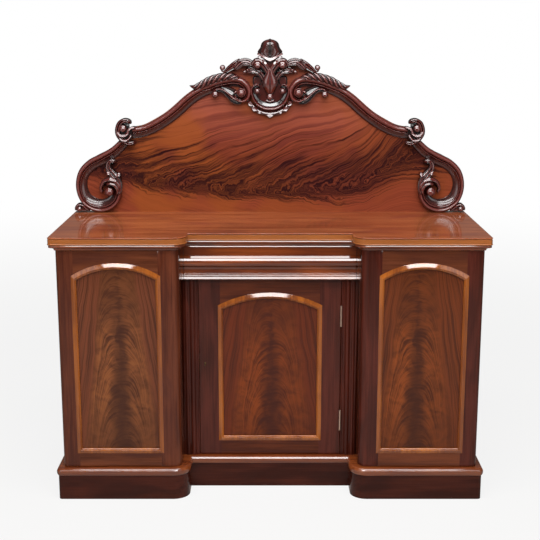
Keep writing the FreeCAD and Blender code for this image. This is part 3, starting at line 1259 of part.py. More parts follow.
def build():
    """Every node of the sideboard by name."""
    bottom_z = BASE_Z + BOARD_THICKNESS
    top_z = CARCASS_TOP_Z - BOARD_THICKNESS
    shelf = shelf_z(bottom_z, top_z)
    divider_z = DIVIDER_TOP - DIVIDER_THICKNESS
    centre_shelf_z = shelf_z(bottom_z, divider_z)
    outer_front_y = DOOR_FACE_Y + DOOR_THICKNESS + DOOR_BACK_GAP
    right_door = pedestal_door()
    middle_door = centre_door()
    plinth = plinth_right()
    beds = pivot_plates_right()
    plates = [mirrored(p) for p in beds] + beds
    block = frieze_block_right()
    crest = crest_with_finial()
    scroll = crest_scroll().cut(crest)
    mid = mid_scroll()
    leaf = ear_leaf()
    foot = ribbon(along_top(FOOT_SCROLL), 1.0, BOARD_FACE_Y - RAIL_PROUD, BOARD_FACE_Y)
    upper_rail = rail(along_top(UPPER_RAIL)).cut(scroll).cut(mid)
    volute_eye = eye(*along_top([VOLUTE_EYE])[0], SCROLL_PROUD)
    ear_rail = fused([rail(along_top(EAR_RAIL)), volute_eye]).cut(leaf).cut(foot)
    stiles = pedestal_stiles(right_door)
    rails = right_door.rails()
    panel = right_door.panel()
    moulding = right_door.moulding()
    brasses = door_brasses(right_door)
    clip = catch_clip()
    moulding_rails = plinth_moulding()
    bed = bed_moulding()
    for plate in plates:
        moulding_rails = moulding_rails.cut(plate)
        bed = bed.cut(plate)
    nodes = {
        "top_board": top_board(),
        "bed_moulding": bed,
        "left_outer_side": side_board(-OUTER_X, outer_front_y, (1,)),
        "left_inner_side": side_board(-INNER_X - SIDE_THICKNESS, INSIDE_FRONT_Y, (-1, 1)),
        "right_inner_side": side_board(INNER_X, INSIDE_FRONT_Y, (-1, 1)),
        "right_outer_side": side_board(OUTER_X - SIDE_THICKNESS, outer_front_y, (-1,)),
        "pedestal_bottoms": pedestal_boards(INSIDE_FRONT_Y, BASE_Z, bottom_z),
        "pedestal_shelves": pedestal_boards(INSIDE_FRONT_Y + SHELF_FRONT_GAP, shelf,
                                            shelf + BOARD_THICKNESS),
        "pedestal_tops": pedestal_boards(INSIDE_FRONT_Y, top_z, CARCASS_TOP_Z),
        "centre_bottom": centre_board(CENTRE_INSIDE_Y, BASE_Z, bottom_z),
        "centre_shelf": centre_board(CENTRE_INSIDE_Y + SHELF_FRONT_GAP, centre_shelf_z,
                                     centre_shelf_z + BOARD_THICKNESS),
        "drawer_divider": centre_board(DRAWER_PLANE_Y, divider_z, DIVIDER_TOP),
        "drawer_guides": drawer_guides(),
        "back_panels": back_panels(),
        "reeded_pilasters": pilasters(),
        "frieze_end_blocks": group([mirrored(block), block]),
        "plinth_left": mirrored(plinth),
        "plinth_centre": plinth_centre(),
        "plinth_right": plinth,
        "plinth_moulding": moulding_rails,
        "plinth_bearers": plinth_bearers(),
        "gallery_backboard": gallery_backboard(),
        "gallery_upper_rails": group([mirrored(upper_rail), upper_rail]),
        "gallery_ear_rails": group([mirrored(ear_rail), ear_rail]),
        "gallery_crest": crest,
        "crest_scrolls": group([mirrored(scroll), scroll]),
        "mid_scrolls": group([mirrored(mid), mid]),
        "ear_leaves": group([mirrored(leaf), leaf]),
        "foot_scrolls": group([mirrored(foot), foot]),
        "gallery_battens": gallery_battens(),
        "batten_screws": batten_screws(),
        "pivot_plates": group(plates),
        "catch_clips": group([mirrored(clip), clip]),
        "centre_hinge_fixed_leaves": hinge_halves(False),
        "lock_strike": lock_strike(),
        "centre_door_stiles": centre_stiles(middle_door),
        "centre_door_rails": middle_door.rails(),
        "centre_door_panel": middle_door.panel(),
        "centre_door_moulding": middle_door.moulding(),
        "centre_hinge_door_leaves": hinge_halves(True),
        "centre_lock_case": lock_case(),
        "keyhole_escutcheon": escutcheon(),
        "lock_bolt": lock_bolt(),
        "drawer_front": drawer_front(),
        "drawer_sides": drawer_sides(),
        "drawer_back": drawer_back(),
        "drawer_bottom": drawer_bottom(),
    }
    for side, turn in (("left", mirrored), ("right", lambda shape: shape)):
        nodes[side + "_door_stiles"] = turn(stiles)
        nodes[side + "_door_rails"] = turn(rails)
        nodes[side + "_door_panel"] = turn(panel)
        nodes[side + "_door_moulding"] = turn(moulding)
        nodes[side + "_door_brasses"] = group([turn(b) for b in brasses])
    return nodes


os.makedirs("parts", exist_ok=True)
for name, shape in build().items():
    shape.exportStep("parts/" + name + ".step")
    solids = shape.Solids
    print(name, len(solids), "solids", round(sum(s.Volume for s in solids) / 1000.0, 2), "cm3",
          "valid" if shape.isValid() else "NOT VALID")
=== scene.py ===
import math
from functools import partial

import bmesh
import bpy
import numpy as np
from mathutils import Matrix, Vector


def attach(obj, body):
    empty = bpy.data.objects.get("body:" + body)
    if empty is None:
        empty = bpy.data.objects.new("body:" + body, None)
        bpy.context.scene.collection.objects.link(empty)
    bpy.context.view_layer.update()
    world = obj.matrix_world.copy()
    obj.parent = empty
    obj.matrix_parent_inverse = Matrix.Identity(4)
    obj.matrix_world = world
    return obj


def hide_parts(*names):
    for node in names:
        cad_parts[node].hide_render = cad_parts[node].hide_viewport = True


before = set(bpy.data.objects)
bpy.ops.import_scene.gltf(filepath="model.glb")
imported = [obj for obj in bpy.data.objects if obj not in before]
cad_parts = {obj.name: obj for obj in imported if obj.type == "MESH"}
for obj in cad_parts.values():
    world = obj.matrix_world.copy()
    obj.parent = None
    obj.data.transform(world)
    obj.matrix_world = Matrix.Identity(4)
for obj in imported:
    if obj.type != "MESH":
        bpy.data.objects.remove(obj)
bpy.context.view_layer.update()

# Mahogany breakfront sideboard with a carved gallery. Shapes are written in millimetres
# in the frame's own axes: x to the right, y to the back, z up, the floor at z 0.
bpy.context.scene.view_settings.view_transform = "Standard"
print("frame loaded:", len(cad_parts), "nodes")

# Lines that the drawn pieces share with the frame
sideboard = dict(
    doorFace=-271,        # front of the pedestal doors
    centreFace=-155,      # front of the centre door
    galleryFace=257,      # front of the gallery board
    topBack=279,          # back of the top board and of the gallery board
    topSurface=940,
    sunk=0.4,             # how deep the carving's backs lie in the gallery board
)


def linear(colour):
    # sRGB hex to linear light: c/12.92 below 0.04045, else ((c + 0.055)/1.055)^2.4
    c = np.array([int(colour[i:i + 2], 16) / 255 for i in (1, 3, 5)])
    c = np.where(c <= 0.04045, c / 12.92, ((c + 0.055) / 1.055) ** 2.4)
    return (*c.tolist(), 1.0)


def feed(node, inputs):
    # a node's inputs, by name or in the order in which Blender shows them: a colour as hex, another
    # value, another node's socket, or a node, which stands for its first output
    if not isinstance(inputs, dict):
        inputs = dict(zip([k for k, socket in enumerate(node.inputs) if socket.enabled], inputs))
    for name, value in inputs.items():
        if isinstance(value, str):
            value = linear(value)
        if isinstance(value, bpy.types.Node):
            value = next(socket for socket in value.outputs if socket.enabled)
        if isinstance(value, bpy.types.NodeSocket):
            node.id_data.links.new(value, node.inputs[name])
        else:
            node.inputs[name].default_value = value


def addNode(tree, kind, inputs=(), **settings):
    # one node: its settings first, then its inputs
    node = tree.nodes.new("ShaderNode" + kind)
    for name, value in settings.items():
        setattr(node, name, value)
    feed(node, inputs)
    return node


def emptyTree(owner):
    # the owner's node tree, cleared, as a function that adds a node to it
    owner.use_nodes = True
    owner.node_tree.nodes.clear()
    return partial(addNode, owner.node_tree)


def newMaterial(name):
    # a material with its shader joined to the output, and the place on the piece in metres
    material = bpy.data.materials.new(name)
    add = emptyTree(material)
    shader = add("BsdfPrincipled")
    add("OutputMaterial", [shader])
    return material, add, shader, add("TexCoord").outputs["Object"]


def newObject(name, data):
    # an object in the scene, standing at the frame's origin
    made = bpy.data.objects.new(name, data)
    bpy.context.scene.collection.objects.link(made)
    return made


def smoothLine(points, count):
    # a curve through the given rows: each run between two rows is the cubic
    # (2t3-3t2+1)p0 + (t3-2t2+t)m0 + (3t2-2t3)p1 + (t3-t2)m1 with m = half the step across
    # the neighbours, read at count evenly spaced places along the chords
    p = np.asarray(points, float)
    chord = np.linalg.norm(np.diff(p[:, :2], axis=0), axis=1)
    at = np.concatenate([[0], np.cumsum(chord)])
    s = np.linspace(0, at[-1], count)
    i = np.clip(np.searchsorted(at, s, side="right") - 1, 0, len(p) - 2)
    t = ((s - at[i]) / chord[i])[:, None]
    slope = np.gradient(p, at, axis=0)
    m0, m1 = slope[i] * chord[i][:, None], slope[i + 1] * chord[i][:, None]
    return ((2 * t ** 3 - 3 * t ** 2 + 1) * p[i] + (t ** 3 - 2 * t ** 2 + t) * m0
            + (3 * t ** 2 - 2 * t ** 3) * p[i + 1] + (t ** 3 - t ** 2) * m1)


def meshPiece(name, surfaces, finish, body, nodes, sharp=35):
    # surfaces is a list of (points, wrapU, wrapV, capped): points is a grid (u, v, xyz) in mm, with
    # the relief as a fourth value where the finish needs it; on the carving it sets the colour, partly as
    # painted shade. Quads join (i, j) (i+1, j) (i+1, j+1) (i, j+1); wrap joins the last row to the first;
    # capped closes both u ends with the v ring
    points, faces = [], []
    base = 0
    for grid, wrapU, wrapV, capped in surfaces:
        nu, nv, depth = grid.shape
        points.append(np.ones((nu * nv, 4)))
        points[-1][:, :depth] = grid.reshape(-1, depth)
        index = np.arange(nu * nv).reshape(nu, nv) + base
        i = np.arange(nu if wrapU else nu - 1)
        j = np.arange(nv if wrapV else nv - 1)
        quads = [index[np.ix_((i + down) % nu, (j + over) % nv)] for down, over in ((0, 0), (1, 0), (1, 1), (0, 1))]
        faces += np.stack(quads, -1).reshape(-1, 4).tolist()
        if capped:
            faces += [index[0].tolist(), index[-1][::-1].tolist()]
        base += nu * nv
    points = np.concatenate(points)
    mesh = bpy.data.meshes.new(name)
    mesh.from_pydata((points[:, :3] / 1000).tolist(), [], faces)
    polishAndShade = mesh.attributes.new("polishAndShade", "FLOAT", "POINT")
    polishAndShade.data.foreach_set("value", points[:, 3].astype(np.float32))
    finishPiece(name, mesh, finish, body, nodes, sharp)


def finishPiece(name, mesh, finish, body, nodes, sharp):
    # doubles merged, faces turned outwards, smooth shading with edges above the angle kept crisp
    mergeWithin = 2e-6                 # metres
    work = bmesh.new()
    work.from_mesh(mesh)
    bmesh.ops.remove_doubles(work, verts=work.verts, dist=mergeWithin)
    bmesh.ops.dissolve_degenerate(work, edges=work.edges, dist=mergeWithin)
    bmesh.ops.recalc_face_normals(work, faces=work.faces)
    work.to_mesh(mesh)
    work.free()
    mesh.shade_smooth()
    mesh.set_sharp_from_angle(angle=math.radians(sharp))
    piece = newObject(name, mesh)
    mesh.materials.append(finishes[finish])
    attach(piece, body)
    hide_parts(*nodes)
    return piece


def smoothCopy(node, finish, body):
    # the node's own shape with its doubles merged, so that its rounds shade as one surface
    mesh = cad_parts[node].data.copy()
    mesh.materials.clear()
    piece = finishPiece(node + "_smooth", mesh, finish, body, [node], 35)
    weighted = piece.modifiers.new("flatsStayFlat", "WEIGHTED_NORMAL")
    weighted.keep_sharp = True
    weighted.weight = 100


# settings that many nodes share
eased = dict(interpolation_type="SMOOTHSTEP")
colours = dict(data_type="RGBA")
times = dict(operation="MULTIPLY")
timesPlus = dict(operation="MULTIPLY_ADD")       # the product of the first two, plus the third

# Camera and light
camera = newObject("camera", bpy.data.cameras.new("camera"))
camera.location = (0, -3.8236, 1.6082)
camera.rotation_euler = (math.radians(77.584), 0, 0)      # tipped down by 12.4 degrees
camera.data.lens = 71.52
camera.data.sensor_width = 36
bpy.context.scene.camera = camera

studio = dict(
    # name: place (m), point aimed at (m), width and height (m), watts
    lamps=dict(
        overhead=((0, -0.8, 3.5), (0, 0, 0.8), (2.8, 0.7), 68),
        overheadFront=((0, -2.1, 3.3), (0, 0, 0.8), (3.0, 0.5), 52),
        frontStrip=((0, -3.6, 2.9), (0, 0, 0.8), (3.4, 0.5), 82),
        sideLeft=((-2.4, -3.2, 1.5), (0, 0, 0.7), (1.6, 2.2), 18),
        sideRight=((2.4, -3.2, 1.5), (0, 0, 0.7), (1.6, 2.2), 18),
    ),
    fill=0.16,                  # the room's light, seen by everything but the camera
    fillColour="#f4f1ec",
    floorColour="#b6b3af",
    paper=(0.85, 1.2, 7.0),     # the camera's share of white: near the piece, from and to (m) where it is all white
)
for lampName, (place, aim, size, watts) in studio["lamps"].items():
    data = bpy.data.lights.new(lampName, "AREA")
    data.shape = "RECTANGLE"
    data.size, data.size_y = size
    data.energy = watts
    lamp = newObject(lampName, data)
    lamp.location = place
    lamp.rotation_mode = "QUATERNION"
    lamp.rotation_quaternion = (Vector(aim) - Vector(place)).to_track_quat("-Z", "Y")

world = bpy.data.worlds.new("studio")
bpy.context.scene.world = world
add = emptyTree(world)
room = add("Background", [studio["fillColour"], studio["fill"]])
white = add("Background", [(1, 1, 1, 1), 1])
cameraRay = add("LightPath").outputs["Is Camera Ray"]
add("OutputWorld", [add("MixShader", [cameraRay, room, white])])

# the floor: pale, and for the camera most of its light is its own, so it reads as white paper,
# keeps the shadow, and runs into the white room further off
floorMesh = bpy.data.meshes.new("floor")
floorMesh.from_pydata([(-30, -30, 0), (30, -30, 0), (30, 30, 0), (-30, 30, 0)], [], [(0, 1, 2, 3)])
floor = newObject("floor", floorMesh)
paper = bpy.data.materials.new("studioPaper")
add = emptyTree(paper)
matt = add("BsdfDiffuse", [studio["floorColour"]])
glow = add("Emission", [(1, 1, 1, 1), 1])
away = add("VectorMath", [add("TexCoord").outputs["Object"]], operation="LENGTH")
near, start, end = studio["paper"]
share = add("MapRange", [away, start, end, near, 1], **eased)
share = add("Math", [add("LightPath").outputs["Is Camera Ray"], share], **times)
add("OutputMaterial", [add("MixShader", [share, matt, glow])])
floorMesh.materials.append(paper)
print("camera, lamps and floor made")


# Finishes. A noise's inputs are its place, scale, detail, roughness, lacunarity and distortion, and a
# map range's are its value, the range that it comes from and the range that it goes to

def stretched(grain, acrossMm, alongMm):
    # a pattern's scale per metre: one step each acrossMm, and each alongMm down the grain
    scale = [1000 / acrossMm] * 3
    scale["XYZ".index(grain)] = 1000 / alongMm
    return scale


def finishSkin(add, shader, wood, pit, place, look):
    # the polish: uneven by a few hundredths of a millimetre, rubbed duller in slow patches, with a
    # second coat where it lies thick in the carving
    patch = add("TexNoise", [place, 9, 3])
    dull = add("MapRange", [patch, 0.3, 0.7, look["gloss"], look["gloss"] * 1.4])
    ripple = add("TexNoise", [place, look.get("ripple", 40), 2])
    height = add("Math", [pit, -0.25, ripple], **timesPlus)
    bump = add("Bump", {"Height": height, "Strength": look.get("bump", 0.15), "Distance": 0.0006})
    feed(shader, {"Base Color": wood, "Roughness": dull, "Normal": bump,
                  "Specular IOR Level": look.get("shine", 0.25), "Coat Weight": look.get("coat", 0),
                  "Coat Roughness": look["gloss"] * 0.6, "Coat IOR": 1.6})


def polishedMahogany(name, look):
    # Solid Cuban mahogany, planed and french polished: faint dark streaks along the grain, slow
    # bands of lighter wood, short dark pores, and a glassy skin that is not quite flat
    material, add, shader, place = newMaterial(name)
    grain, seed = look["grain"], look["seed"]
    # streaks, slow bands, pores and clouds: where each pattern starts, its mm across and along the grain
    sizes = ((0, look["streakMm"], 190), (5, look["bandMm"], 420), (9, 1.1, 16), (13, 90, 260))
    runs = [add("Mapping", {"Vector": place, "Location": (seed + start, seed * 1.7, seed * 0.6),
                            "Scale": stretched(grain, across, down)}) for start, across, down in sizes]
    streak = add("TexNoise", [runs[0], 1, 4, 0.6, 2, 0.2])
    band = add("TexNoise", [runs[1], 1, 2, 0.5, 2, 0.9])
    pore = add("TexNoise", [runs[2], 1, 2])
    cloud = add("TexNoise", [runs[3], 1, 2, 0.5, 2, 0.5])
    tone = add("Mix", [look["bandShare"], streak, band])
    tone = add("MapRange", [tone, 0.34, 0.66], **eased)
    wood = add("Mix", [tone, look["dark"], look["light"]], **colours)
    # old polish gone darker in clouds
    shade = add("MapRange", [cloud, 0.48, 0.72, 0, 0.7], **eased)
    wood = add("Mix", [shade, wood, look["cloud"]], **colours)
    if "edge" in look:
        # the moulded edge, under the height given in metres, keeps a lighter golden polish
        z = add("SeparateXYZ", [place]).outputs["Z"]
        edge = add("MapRange", [z, look["edgeTop"], look["edgeTop"] - 0.001, 0, 0.7])
        wood = add("Mix", [edge, wood, look["edge"]], **colours)
    pit = add("MapRange", [pore, 0.6, 0.76, 0, 0.4])
    wood = add("Mix", [pit, wood, look["pore"]], **colours)
    finishSkin(add, shader, wood, pit, place, look)
    return material


def doorFlame(name, look):
    # Mahogany cut through a fork of the trunk, laid as veneer with the fork upright. Nested arches
    # f = z + a x2 + b x4 stand under a hood whose half width grows downwards; beyond the hood the
    # grain runs straight. A dark feather climbs the middle and the arches' shoulders are lightest
    material, add, shader, place = newMaterial(name)
    centred = add("Mapping", {"Vector": place, "Location": look["offset"]})
    wander = add("TexNoise", [centred, 5.5, 3])
    drift = add("SeparateColor", [wander.outputs["Color"]])
    x, _, z = add("SeparateXYZ", [centred]).outputs
    # the figure wanders by up to 18 mm to either side, and 90 mm downwards
    side = add("Math", [drift, 0.036, x], **timesPlus)
    side = add("Math", [side, 0.018], operation="SUBTRACT")
    height = add("Math", [drift.outputs[1], 0.09, z], **timesPlus)
    square = add("Math", [side, side], **times)
    fourth = add("Math", [square, square], **times)
    arch = add("Math", [square, look["arch2"], height], **timesPlus)
    arch = add("Math", [fourth, look["arch4"], arch], **timesPlus)
    away = add("Math", [side], operation="ABSOLUTE")
    hood = add("MapRange", [z, look["low"], look["high"], look["hoodLow"], look["hoodHigh"]])
    share = add("Math", [side, hood], operation="DIVIDE")
    out = add("Math", [share], operation="ABSOLUTE")
    # three grains: broad arches, fine lines within them, and the straight grain beside the hood
    field = add("CombineXYZ", [arch, side])
    upright = add("CombineXYZ", [share, z])
    wide = add("Mapping", {"Vector": field, "Scale": (1000 / look["bandMm"], 8, 1)})
    fine = add("Mapping", {"Vector": field, "Location": (4, 2, 1), "Scale": (1000 / look["lineMm"], 14, 1)})
    straight = add("Mapping", {"Vector": upright, "Scale": (14, 2.4, 1)})
    bands = add("TexNoise", [wide, 1, 3, 0.5, 2, 0.4])
    lines = add("TexNoise", [fine, 1, 3, 0.6])
    grain = add("TexNoise", [straight, 1, 4, 0.6, 2, 0.3])
    # the shoulders: light between the feather and the hood, fading towards the top
    shoulder = add("MapRange", [out, 0.08, 0.42], **eased)
    lower = add("MapRange", [height, look["lightTo"], look["lightFrom"]], **eased)
    foot = add("MapRange", [height, look["low"] + 0.08, look["low"] + 0.28, 0.25], **eased)
    right = add("MapRange", [side, -0.03, 0.03, 1, look["rightShare"]])
    glow = shoulder
    for part in (lower, foot, right):
        glow = add("Math", [glow, part], **times)
    glow = add("MapRange", [glow, 0, 1, 0.4, 1])
    mottle = add("TexNoise", [centred, 26, 4, 0.5, 2, 0.8])
    tone = add("Mix", [0.55, bands, lines])
    tone = add("Mix", [0.3, tone, mottle])
    tone = add("MapRange", [tone, 0.38, 0.6], **eased)
    tone = add("Math", [tone, glow], **times)
    figure = add("Mix", [tone, look["dark"], look["light"]], **colours)
    # the feather, wider downwards, with ragged edges
    reach = add("MapRange", [z, look["low"], look["high"], look["featherLow"], look["featherHigh"]])
    ragged = add("Math", [mottle, 0.05, away], **timesPlus)
    ragged = add("Math", [bands, 0.03, ragged], **timesPlus)
    core = add("Math", [ragged, reach], operation="DIVIDE")
    core = add("MapRange", [core, 0.7, 1.7, look["featherShare"], 0], **eased)
    figure = add("Mix", [core, figure, look["feather"]], **colours)
    plain = add("MapRange", [grain, 0.34, 0.6], **eased)
    plain = add("Mix", [plain, look["dark"], look["plain"]], **colours)
    edge = add("MapRange", [out, 0.8, 1.1], **eased)
    figure = add("Mix", [edge, figure, plain], **colours)
    pit = add("MapRange", [lines, 0.66, 0.8, 0, 0.4])
    finishSkin(add, shader, figure, pit, place, look)
    return material


def galleryFlame(name, look):
    # The gallery's veneer, cut through a fork and laid with the fork level: a dark curly feather
    # lies across it along the line h = feather(x). With d the height over that line, plumes leave
    # it as x - a d - b d2 = constant, so they rise from it at first and then sweep off level to
    # the right; below it the grain is nearly level
    material, add, shader, place = newMaterial(name)
    curl = add("TexNoise", [place, 34, 3])
    drift = add("TexNoise", [place, 5, 2])
    x, _, z = add("SeparateXYZ", [place]).outputs
    span, tall = 0.7, 0.3              # what the line's curve covers, in metres: half its length, its height
    along = add("MapRange", [x, -span, span])
    course = add("FloatCurve", {"Value": along})
    curve = course.mapping.curves[0]
    for k, (out, up) in enumerate(look["feather"]):
        spot = ((out / 1000 + span) / (2 * span), up / 1000 / tall)
        if k < 2:
            curve.points[k].location = spot
        else:
            curve.points.new(*spot)
    course.mapping.update()
    level = add("Math", [course, -tall, z], **timesPlus)
    level = add("Math", [level, sideboard["topSurface"] / 1000], operation="SUBTRACT")
    level = add("Math", [drift, 0.07, level], **timesPlus)
    level = add("Math", [level, 0.035], operation="SUBTRACT")
    above = add("Math", [level, 0], operation="MAXIMUM")
    below = add("Math", [level, 0], operation="MINIMUM")
    near = add("Math", [level], operation="ABSOLUTE")
    # the plumes' number: x - a d - b d2 above, and x + c d below, curled near the feather
    number = add("Math", [above, -look["sweep"], -look["lean"]], **timesPlus)
    number = add("Math", [number, above, x], **timesPlus)
    number = add("Math", [below, look["under"], number], **timesPlus)
    curly = add("MapRange", [near, 0, 0.12, 0.14, 0.02], **eased)
    number = add("Math", [curl, curly, number], **timesPlus)
    field = add("CombineXYZ", [number, level])
    wide = add("Mapping", {"Vector": field, "Scale": (1000 / look["plumeMm"], 8, 1)})
    fine = add("Mapping", {"Vector": field, "Location": (7, 3, 1), "Scale": (1000 / look["lineMm"], 12, 1)})
    plumes = add("TexNoise", [wide, 1, 4, 0.6])
    lines = add("TexNoise", [fine, 1, 3, 0.6])
    tone = add("Mix", [0.45, plumes, lines])
    tone = add("MapRange", [tone, 0.34, 0.66], **eased)
    # the figure is strongest at the feather, faint high above it and soon gone below it
    calm = add("MapRange", [above, 0.08, 0.3, 0, 0.35], **eased)
    still = add("MapRange", [below, 0, -0.03, 0, 0.45], **eased)
    calm = add("Math", [calm, still], operation="MAXIMUM")
    tone = add("Mix", [calm, tone, 0.72])
    figure = add("Mix", [tone, look["dark"], look["light"]], **colours)
    high = add("MapRange", [level, 0.12, 0.34, 0, 0.5], **eased)
    figure = add("Mix", [high, figure, look["pale"]], **colours)
    # purple brown patches drawn out along the plumes
    far = add("Mapping", {"Vector": field, "Location": (2, 9, 1), "Scale": (1000 / look["patchMm"], 5, 1)})
    patch = add("TexNoise", [far, 1, 3, 0.5, 2, 0.4])
    patch = add("MapRange", [patch, 0.46, 0.62, 0, 0.65], **eased)
    rising = add("MapRange", [level, -0.01, 0.04])
    patch = add("Math", [patch, rising], **times)
    figure = add("Mix", [patch, figure, look["patch"]], **colours)
    # warm plain wood in slow patches, more of it to the left
    warm = add("MapRange", [drift, 0.42, 0.62, 0, 0.75], **eased)
    leftward = add("MapRange", [x, -0.3, 0.2, 1, 0.45])
    warm = add("Math", [warm, leftward], **times)
    figure = add("Mix", [warm, figure, look["warm"]], **colours)
    # the feather itself: dark plumes thinning out above and below its line, with curled strands of
    # the lighter wood through them
    reach = add("Math", [above, 1000 / look["aboveMm"]], **times)
    under = add("MapRange", [x, 0.15, 0.45, *(-1000 / mm for mm in look["belowMm"])])
    under = add("Math", [below, under], **times)
    reach = add("Math", [reach, under], operation="MAXIMUM")
    core = add("Math", [plumes, 2.2, -0.13], **timesPlus)
    core = add("Math", [reach, -0.58, core], **timesPlus)
    core = add("MapRange", [core, 0.36, 0.8], **eased)
    strand = add("MapRange", [lines, 0.4, 0.66, 0.95, 0.45], **eased)
    core = add("Math", [core, strand], **times)
    figure = add("Mix", [core, figure, look["core"]], **colours)
    pit = add("MapRange", [lines, 0.66, 0.8, 0, 0.4])
    finishSkin(add, shader, figure, pit, place, look)
    return material


def carvedMahogany(name, look):
    # Carved mahogany, stained dark and polished over: the colour runs from the hollow colour to the red
    # crown colour by the value that each point of the piece carries, low in hollows, grooves, on faces that
    # turn away and on the dark pieces set into gaps. That darkness is partly old dark polish kept in the
    # hollows and partly painted shade; the crowns show the red wood
    material, add, shader, place = newMaterial(name)
    polishAndShade = add("Attribute", attribute_name="polishAndShade").outputs["Fac"]
    mottle = add("TexNoise", [place, 60, 4])
    rise = add("Math", [mottle, 0.35, polishAndShade], **timesPlus)
    rise = add("MapRange", [rise, look["hollowTo"], look["crownFrom"]], **eased)
    wood = add("Mix", [rise, look["hollow"], look["crown"]], **colours)
    pit = add("MapRange", [mottle, 0.62, 0.75, 0, 0.4])
    finishSkin(add, shader, wood, pit, place, look)
    return material


def sawnPine(name, look):
    # Scots pine, planed and left bare: pale straw wood between orange growth lines, gone brown with age
    material, add, shader, place = newMaterial(name)
    stretch = add("Mapping", {"Vector": place, "Scale": (2.2, 1000 / look["ringMm"], 1000 / look["ringMm"])})
    ring = add("TexNoise", [stretch, 1, 3, 0.5, 2, 0.6])
    tone = add("MapRange", [ring, 0.4, 0.62])
    wood = add("Mix", [tone, look["light"], look["ring"]], **colours)
    grime = add("TexNoise", [place, 6, 5])
    dirt = add("MapRange", [grime, 0.45, 0.75, 0, 0.5])
    wood = add("Mix", [dirt, wood, look["grime"]], **colours)
    bump = add("Bump", {"Height": ring, "Strength": 0.3, "Distance": 0.0005})
    feed(shader, {"Base Color": wood, "Normal": bump, "Roughness": 0.62})
    return material


def agedMetal(name, look):
    # Cast or turned metal, long handled: bright where rubbed, browner and duller in between
    material, add, shader, place = newMaterial(name)
    patina = add("TexNoise", [place, 220, 4])
    tone = add("MapRange", [patina, 0.35, 0.68])
    colour = add("Mix", [tone, look["bright"], look["dull"]], **colours)
    rough = add("MapRange", [patina, 0.3, 0.7, 0.24, 0.46])
    feed(shader, {"Base Color": colour, "Roughness": rough, "Metallic": 1})
    return material


stile = dict(grain="Z", seed=1, streakMm=7, bandMm=60, bandShare=0.55, dark="#441e13", light="#66331f",
             cloud="#47231a", pore="#24100c", gloss=0.1)
woods = dict(                           # what each has of its own
    stile=("frenchPolishedMahoganyUpright", dict()),
    rail=("frenchPolishedMahoganyLevel", dict(grain="X", seed=3, dark="#4a2314", light="#6c3820")),
    # darker copies of stile and rail: painted shade on the centre door, set back under the top, and on the right
    # door's stiles
    stilePaintedShade=("mahoganyUprightPaintedShade", dict(seed=5, dark="#36140c", light="#54241a", cloud="#381812")),
    railPaintedShade=("mahoganyLevelPaintedShade", dict(grain="X", seed=9, dark="#3e180b", light="#5e2a14", cloud="#40190f")),
    plinth=("frenchPolishedMahoganyPlinth", dict(
        grain="X", seed=7, dark="#301008", light="#461c11", cloud="#2b0f09", shine=0.2)),
    top=("frenchPolishedMahoganyTop", dict(
        grain="X", seed=11, dark="#7a3b22", light="#9f5a37", cloud="#73392a", bandMm=55, gloss=0.08, shine=0.35,
        edge="#985a2a", edgeTop=0.9355)),
    frieze=("frenchPolishedMahoganyFrieze", dict(
        grain="X", seed=15, dark="#5a2511", light="#8a421b", cloud="#522213", gloss=0.05, shine=0.75, bump=0.03)),
    pilaster=("frenchPolishedMahoganyReeds", dict(
        seed=19, dark="#36130b", light="#522015", cloud="#34120c", gloss=0.09)),
    nose=("frenchPolishedMahoganyCapping", dict(
        grain="X", seed=23, dark="#5e2813", light="#84431f", cloud="#562514", gloss=0.07, shine=0.8, bump=0.04)),
    moulding=("frenchPolishedMahoganyBolection", dict(
        seed=27, dark="#74370f", light="#a45a1a", cloud="#703614", pore="#4c2410", gloss=0.08, shine=0.7,
        bump=0.04)),
)
finishes = {key: polishedMahogany(name, dict(stile, **own)) for key, (name, own) in woods.items()}
finishes.update(
    # hollow is the dark of old polish and of painted shade, crown the red wood
    carved=carvedMahogany("carvedMahogany", dict(
        hollow="#140505", crown="#581f1a", hollowTo=0.45, crownFrom=1.25, gloss=0.12, bump=0.01, ripple=60, shine=1,
        coat=0.2)),
    railwood=carvedMahogany("carvedMahoganyRail", dict(
        hollow="#200a09", crown="#602822", hollowTo=0.4, crownFrom=1.25, gloss=0.16, bump=0.01, shine=0.8)),
    pine=sawnPine("agedScotsPine", dict(light="#b98a5a", ring="#8f5d33", grime="#5b3b22", ringMm=5)),
    brass=agedMetal("lacqueredCastBrass", dict(bright="#cfa75c", dull="#7d5a2c")),
    knuckle=agedMetal("wornRolledBrass", dict(bright="#e2c8b4", dull="#b49884")),
    keyhole=agedMetal("blackenedBrass", dict(bright="#a08a66", dull="#3a2a1c")),
    steel=agedMetal("blackedSteelScrew", dict(bright="#7c7a78", dull="#3f3a37")),
)
# heights and half widths in metres; the offset brings the feather's foot to x 0
doorPanel = dict(arch2=7, arch4=2600, bandMm=22, lineMm=7, low=0.17, high=0.84, hoodLow=0.132, hoodHigh=0.058,
                 featherLow=0.070, featherHigh=0.022, featherShare=0.75, lightTo=0.76, lightFrom=0.56, rightShare=0.8,
                 dark="#482516", light="#844c28", feather="#381c12", plain="#6a3721", gloss=0.1, ripple=30)
for key, name, own in (
        ("leftPanel", "flameVeneerLeftDoor", dict(offset=(0.518, 0, 0))),
        ("rightPanel", "flameVeneerRightDoor", dict(
            offset=(-0.508, 0, 0.013), dark="#451f0e", light="#823f19", plain="#673015", feather="#34170d",
            rightShare=0.6)),
        ("centrePanel", "flameVeneerCentreDoor", dict(
            offset=(-0.005, 0, 0.06), dark="#441b0c", light="#7c3814", plain="#5f2610", feather="#35140d",
            hoodLow=0.16, hoodHigh=0.072, rightShare=0.55))):
    finishes[key] = doorFlame(name, dict(doorPanel, **own))
